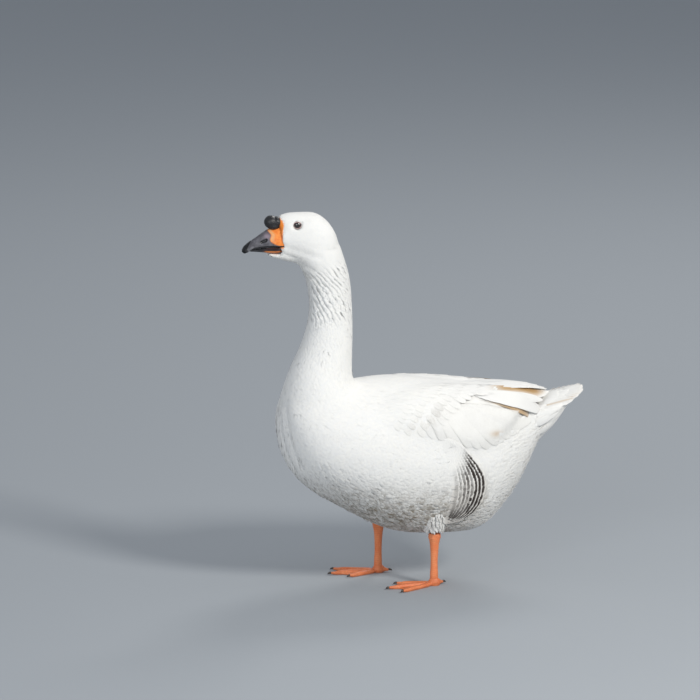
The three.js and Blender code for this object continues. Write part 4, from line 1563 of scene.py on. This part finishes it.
def makeLowerBill():
    # The lower bill with the comb along its edge.
    at = billSteps(-98, -102.5, 8)
    rings = [
        sectionRing(y, *shape, 5.0, 2.0, billStyle["lowerWidest"])
        for y, shape in zip(at, curveRows(lowerRows, at))
    ]
    form = loftRings(rings)
    points, normals = formArrays(form)
    x, y, z = points.T
    back, belly, _ = curveRows(lowerRows, np.clip(y, -102, -31)).T
    height = (z - belly) / np.maximum(back - belly, 0.5)
    comb = np.sin(y * 2 * math.pi / 1.6) * fade(height, 0.55, 0.75) * fade(y, -88, -80)
    push = 0.22 * comb - 0.5 * bell((height, 0.5, 0.12)) * fade(y, -98, -90)
    mesh = meshFrom(placeForm(form, onHead(points + normals * push[:, None])), "bill_lower_skin")
    orange = 0.744 * fade(y, -81, -73) * fade(height, 0.62, 0.44)
    red = 0.4 * fade(y, -84, -70) * fade(height, 0.42, 0.6)
    dark = 0.85 * np.clip(fade(y, -74, -84) + 0.95 * fade(height, 0.42, 0.58), 0, 1)
    shadeMesh(mesh, orange=orange, dark=dark, red=red)
    addObject("bill_lower_skin", mesh, billFinish, ["bill_lower"])


makeUpperBill()
makeLowerBill()

# The soft edge of the mouth, on the head's axes: y, z and the half width.
mouth = {"path": [(-45, -9.2, 12.9), (-55, -8.7, 12.6), (-66, -8.9, 11.9), (-76, -9.6, 10.9)], "radius": 0.6}


def tubeAlong(centres, radii, segments=12):
    flows = unit(np.gradient(centres, axis=0))
    side = unit(np.cross(np.tile(upwards, (len(centres), 1)), flows))
    rise = np.cross(flows, side)
    angle = circleSteps(segments)[None, :, None]
    ring = side[:, None] * np.cos(angle) + rise[:, None] * np.sin(angle)
    return list(centres[:, None] + ring * radii[:, None, None])


def makeMouthEdge():
    share = np.linspace(0, 1, 40)
    y, z, half = columnsAt(share, np.linspace(0, 1, len(mouth["path"])), mouth["path"]).T
    radii = mouth["radius"] * np.sin(np.pi * np.clip(share, 0.02, 0.98)) ** 0.4
    radii = radii * (1 + 0.12 * np.sin(share * 130))
    joined = bmesh.new()
    for sign in (1, -1):
        form = loftRings(tubeAlong(onHead(np.stack([half * sign, y, z], 1)), radii))
        addForm(joined, placeForm(form, formArrays(form)[0]))
    finish = Finish("mouth edge", 0.3, Specular_IOR_Level=0.5)
    tone = finish.noise(500, 2)
    colour = finish.blend(tone, (0.10, 0.035, 0.030), (0.030, 0.014, 0.013))
    material = finish.finish(colour, bump=tone, height=0.0002)
    addObject("mouth_edge", meshFrom(joined, "mouth_edge"), material)


makeMouthEdge()

# The knob: centres and radii of the balls it is melted from, and the depth of its creases.
knobStyle = {
    "balls": [
        ((0, -65.4, 34.4), (11.4, 11.6, 11.4)),
        ((0, -55.2, 34.2), (11.6, 9.6, 9.6)),
        ((0, -60.5, 27.5), (10.8, 11.6, 7.0)),
    ],
    "voxel": 0.8,
    "crease": 0.28,
}


def makeKnob():
    form = bmesh.new()
    for centre, radii in knobStyle["balls"]:
        for vert in bmesh.ops.create_icosphere(form, subdivisions=4, radius=1)["verts"]:
            vert.co = Vector(toFrame(onHead(np.array(centre) + np.array(vert.co) * np.array(radii))))
    mesh = evenMesh(meshFrom(form, "holder"), knobStyle["voxel"], "knob_skin")
    points = smoothed(mesh, pointsOf(mesh), 16)
    setPoints(mesh, points)
    local = fromHead(points)
    x, y, z = local.T
    fold = bell((y + 0.10 * z, -55.3, 1.5)) * fade(z, 24, 34)
    second = bell((y - 0.35 * (z - 38), -54.5, 0.9)) * fade(z, 30, 37)
    third = bell((z - 0.5 * (y + 58), 33, 0.8)) * fade(y, -60, -55)
    pits = 0.12 * wobbleOf(local, 1.1) + 0.08 * wobbleOf(local, 0.6)
    push = pits - knobStyle["crease"] * (fold * 1.2 + 0.7 * second + 0.6 * third)
    setPoints(mesh, smoothed(mesh, points + normalsOf(mesh) * push[:, None], 1, 0.4))
    finish = Finish("black knob skin", 0.4, Specular_IOR_Level=0.5)
    cloud = finish.noise(220, 4)
    colour = finish.blend(cloud, (0.008, 0.008, 0.009), (0.026, 0.026, 0.028))
    bump = finish.noise(1300, 3) + finish.cells(620) * 0.8
    material = finish.finish(colour, cloud * 0.16 + 0.34, bump, 0.00035, 0.4)
    addObject("knob_skin", mesh, material, ["knob"])


makeKnob()

# The lids' section, from the opening out to the skin and back: share of the opening, height over the eyeball.
lidShape = [
    (1.0, -0.5), (0.985, 0.02), (1.02, 0.28), (1.09, 0.32), (1.16, 0.16), (1.3, -0.3), (1.5, -0.9),
    (1.5, -1.6), (1.2, -1.3),
]


def makeEyeball(side):
    centre, outward, _, _ = eyeAxes(side)
    name = "eyeball_" + side
    form = bmesh.new()
    bmesh.ops.create_uvsphere(form, u_segments=48, v_segments=32, radius=1)
    bmesh.ops.recalc_face_normals(form, faces=form.faces)
    points, _ = formArrays(form)
    axis = points @ outward
    mesh = meshFrom(placeForm(form, centre + points * eyeStyle["radius"]), name)
    off = np.sqrt(np.clip(1 - axis**2, 0, 1)) * eyeStyle["radius"] + 20 * (axis < 0)
    pupil, iris = eyeStyle["pupil"], eyeStyle["iris"]
    shadeMesh(mesh, iris=fade(off, pupil - 0.3, pupil + 0.3) * fade(off, iris + 0.6, iris - 0.3))
    coat = {"Coat_Weight": 0.7, "Coat_Roughness": 0.03, "Coat_IOR": 1.6}
    finish = Finish("eye " + side, 0.05, Specular_IOR_Level=0.6, **coat)
    brown = finish.blend(finish.noise(900, 3), (0.030, 0.010, 0.006), (0.012, 0.005, 0.004))
    colour = finish.blend(finish.attribute("iris"), (0.003, 0.0028, 0.003), brown)
    addObject(name, mesh, finish.finish(colour), ["eye_" + side])


def makeEyelids(side):
    # A band on the eyeball from the opening out to the skin, with a bare rim.
    centre, outward, ahead, up = eyeAxes(side)
    name = "eyelids_" + side
    angle = circleSteps(72)
    long = np.cos(angle) * (1 + 0.07 * np.abs(np.cos(angle)) ** 8) * eyeStyle["ring"][0]
    flat = long[:, None] * ahead + (np.sin(angle) * eyeStyle["ring"][1])[:, None] * up
    form = bmesh.new()
    loops = []
    for share, height in lidShape:
        reach = flat * share
        depth = np.sqrt(np.clip(eyeStyle["radius"] ** 2 - np.sum(reach**2, axis=1), 0, None))
        places = centre + reach + outward * depth[:, None]
        loops.append(addRing(form, toFrame(places + unit(places - centre) * height)))
    for first, second in zip(loops, loops[1:] + loops[:1]):
        bridge(form, first, second)
    bmesh.ops.recalc_face_normals(form, faces=form.faces)
    mesh = meshFrom(form, name)
    shadeMesh(mesh, rim=fade(lidShare(pointsOf(mesh), side), 1.12, 1.04))
    finish = Finish("eyelid rim " + side, 0.5, Specular_IOR_Level=0.3)
    tone = finish.noise(700, 3)
    bare = finish.blend(finish.ramp(tone, 0.35, 0.7), (0.50, 0.20, 0.19), (0.66, 0.38, 0.35))
    colour = finish.blend(finish.attribute("rim"), plumageColours["white"], bare)
    addObject(name, mesh, finish.finish(colour, bump=tone, height=0.0002))


for side in sides:
    makeEyeball(side)
    makeEyelids(side)
print("bill, knob and eyes made")

# Legs: the size of the scales, the depth of the grooves, and the balls that round off each toe at its claw.
legStyle = {
    "voxel": 0.9, "scale": 2.7, "webScale": 1.7, "closeness": 0.72, "groove": 0.32,
    "toeEnd": ((-6, 2.9), (-3.5, 2.85), (-1.2, 2.75), (0.8, 2.45)), "clawVoxel": 0.35,
}


def sheetPoints(points, spacing):
    # Some of the points, none closer to another than the spacing.
    taken = []
    cells = {}
    for index in chance.permutation(len(points)):
        place = points[index]
        i, j, k = (int(step) for step in place // spacing)
        around = [(i + a, j + b, k + c) for a in (-1, 0, 1) for b in (-1, 0, 1) for c in (-1, 0, 1)]
        near = [other for cell in around for other in cells.get(cell, ())]
        if all(sum((p - q) ** 2 for p, q in zip(other, place)) > spacing**2 for other in near):
            taken.append(place)
            cells.setdefault((i, j, k), []).append(tuple(place))
    return np.array(taken)


def roundToes(mesh, side):
    # The last joint of each toe, which the claw grows out of.
    ankle = middleOf("shank_" + side)
    form = bmesh.new()
    form.from_mesh(mesh)
    for toe in toes:
        places = pointsOf(joinedNodes(["claw_" + side + "_" + toe], 0.0))
        away = np.linalg.norm(places[:, :2] - ankle[:2], axis=1)
        root = places[away.argmin()]
        heading = unit((places[away.argmax()] - root) * (1, 1, 0))
        for step, radius in legStyle["toeEnd"]:
            drop = -0.3 + 0.1 * min(step, 0) - 0.26 * max(step, 0)
            ball = bmesh.ops.create_icosphere(form, subdivisions=3, radius=radius * mm)["verts"]
            bmesh.ops.translate(form, verts=ball, vec=Vector(toFrame(root + heading * step + upwards * drop)))
    form.to_mesh(mesh)
    form.free()
    return mesh


def onGround(points):
    points[:, 2] = np.maximum(points[:, 2], 0.0)
    return points


def legMaterial():
    finish = Finish("leg skin", 0.5, Specular_IOR_Level=0.42)
    mottle = finish.ramp(finish.noise(60, 4), 0.3, 0.75)
    colour = finish.blend(mottle, (0.80, 0.215, 0.075), (0.86, 0.30, 0.125))
    colour = finish.blend(finish.ramp(finish.noise(380, 3), 0.55, 0.8) * 0.35, colour, (0.88, 0.42, 0.24))
    stain = finish.attribute("low") * finish.ramp(finish.noise(45, 3), 0.35, 0.7) * 0.4
    colour = finish.blend(stain, colour, (0.46, 0.12, 0.05))
    # Painted shade: darker in the grooves between the scales and the scutes.
    colour = finish.blend(finish.attribute("groove") * 0.55, colour, (0.38, 0.085, 0.035))
    return finish.finish(colour, finish.noise(200, 2) * 0.2 + 0.38, finish.noise(1500, 2), 0.0002, 0.3)


def clawMaterial():
    finish = Finish("claw horn", 0.32, Specular_IOR_Level=0.5)
    streak = finish.noise(260, 4)
    colour = finish.blend(streak, (0.012, 0.010, 0.009), (0.075, 0.052, 0.038))
    return finish.finish(colour, streak * 0.2 + 0.22, finish.noise(900, 2), 0.0002, 0.3)


legFinish = legMaterial()
clawFinish = clawMaterial()


def makeLeg(side):
    # Shank and foot with their scales, and broad scutes up the front.
    names = ["shank_" + side, "foot_" + side]
    name = "leg_skin_" + side
    mesh = evenMesh(roundToes(joinedNodes(names, 0.25), side), legStyle["voxel"], name)
    points = pointsOf(mesh)
    points = onGround(smoothed(mesh, points, np.where(points[:, 2] < 1.2, 2, 7)))
    setPoints(mesh, points)
    x, y, z = points.T
    webbed = z < 9
    settled = pointsOf(mesh)
    seeds = np.concatenate([
        sheetPoints(settled[part], legStyle[size] * legStyle["closeness"])
        for part, size in ((~webbed, "scale"), (webbed, "webScale"))
    ])
    far = nearestOf(seeds, points, 2)[1]
    # The grooves between the scales are pushed in and also darkened with painted shade.
    groove = 1 - fade(far[:, 1] - far[:, 0], 0.0, np.where(webbed, 0.55, 0.8))
    front = fade(y - middleOf(names[0])[1], 1, -3) * (z > 14)
    bands = 1 - np.abs(np.sin(z * math.pi / 3.4 + 0.14 * np.abs(x))) ** 0.35
    push = -legStyle["groove"] * np.where(webbed, 0.5, 1.0) * groove * (1 - front) - 0.55 * bands * front
    knees = 0.3 * wobbleOf(points, 2.5) * fade(z, 70, 84)
    points = points + normalsOf(mesh) * (push * (z > 0.8) + knees)[:, None]
    setPoints(mesh, points)
    shadeMesh(mesh, groove=np.maximum(groove * (1 - front), bands * front), low=fade(points[:, 2], 26, 4))
    addObject(name, mesh, legFinish, names)


def makeClaws(side):
    names = ["claw_" + side + "_" + toe for toe in toes]
    name = "claws_skin_" + side
    mesh = evenMesh(joinedNodes(names, 0.0), legStyle["clawVoxel"], name)
    setPoints(mesh, onGround(smoothed(mesh, pointsOf(mesh), 5)))
    addObject(name, mesh, clawFinish, names)


for side in sides:
    makeLeg(side)
    makeClaws(side)
print("legs and claws made")

view = {"azimuth": 71, "elevation": 11.5, "distance": 13.2, "lens": 400, "target": (0, -0.11713, 0.406)}
stage = {
    "floor": (0.36, 0.385, 0.41), "floorPale": (0.44, 0.46, 0.49), "floorRadius": 60,
    "world": (0.62, 0.66, 0.72), "worldStrength": 0.6, "middle": (0, 0, 0.3),
}
# Lamps: name, azimuth, elevation, distance, size, power and colour.
lamps = [
    ("key", 114, 34, 4.0, 1.0, 105, (1.0, 0.975, 0.93)),
    ("fill", 50, 16, 5.0, 3.0, 74, (0.93, 0.96, 1.0)),
    ("rim", 230, 42, 4.5, 1.6, 54, (1.0, 0.98, 0.95)),
]


def aimed(name, data, target, azimuth, elevation, distance):
    a, e = math.radians(azimuth), math.radians(elevation)
    towards = Vector((math.sin(a) * math.cos(e), -math.cos(a) * math.cos(e), math.sin(e)))
    holder = linked(name, data)
    holder.location = Vector(target) + towards * distance
    holder.rotation_euler = (holder.location - Vector(target)).to_track_quat("Z", "Y").to_euler()
    return holder


def makeStage():
    form = bmesh.new()
    bmesh.ops.create_circle(form, cap_ends=True, segments=64, radius=stage["floorRadius"])
    mesh = meshFrom(form, "floor")
    floor = linked("floor", mesh)
    finish = Finish("pale floor", 0.9, Specular_IOR_Level=0.1)
    colour = finish.blend(finish.noise(0.7, 2) * 0.06, stage["floor"], stage["floorPale"])
    mesh.materials.append(finish.finish(colour))
    world = bpy.data.worlds.new("studio")
    world.use_nodes = True
    background = world.node_tree.nodes["Background"]
    background.inputs["Color"].default_value = (*stage["world"], 1)
    background.inputs["Strength"].default_value = stage["worldStrength"]
    bpy.context.scene.world = world


def makeLights():
    for name, azimuth, elevation, distance, size, power, colour in lamps:
        light = bpy.data.lights.new(name, "AREA")
        light.shape = "DISK"
        light.size = size
        light.energy = power
        light.color = colour
        aimed(name, light, stage["middle"], azimuth, elevation, distance)


def makeCamera():
    camera = bpy.data.cameras.new("camera")
    camera.lens = view["lens"]
    camera.sensor_width = 36
    camera.clip_end = 200
    bpy.context.scene.camera = aimed(
        "camera", camera, view["target"], view["azimuth"], view["elevation"], view["distance"])


makeStage()
makeLights()
makeCamera()
bpy.context.scene.view_settings.view_transform = "Standard"
print("stage, lights and camera made")
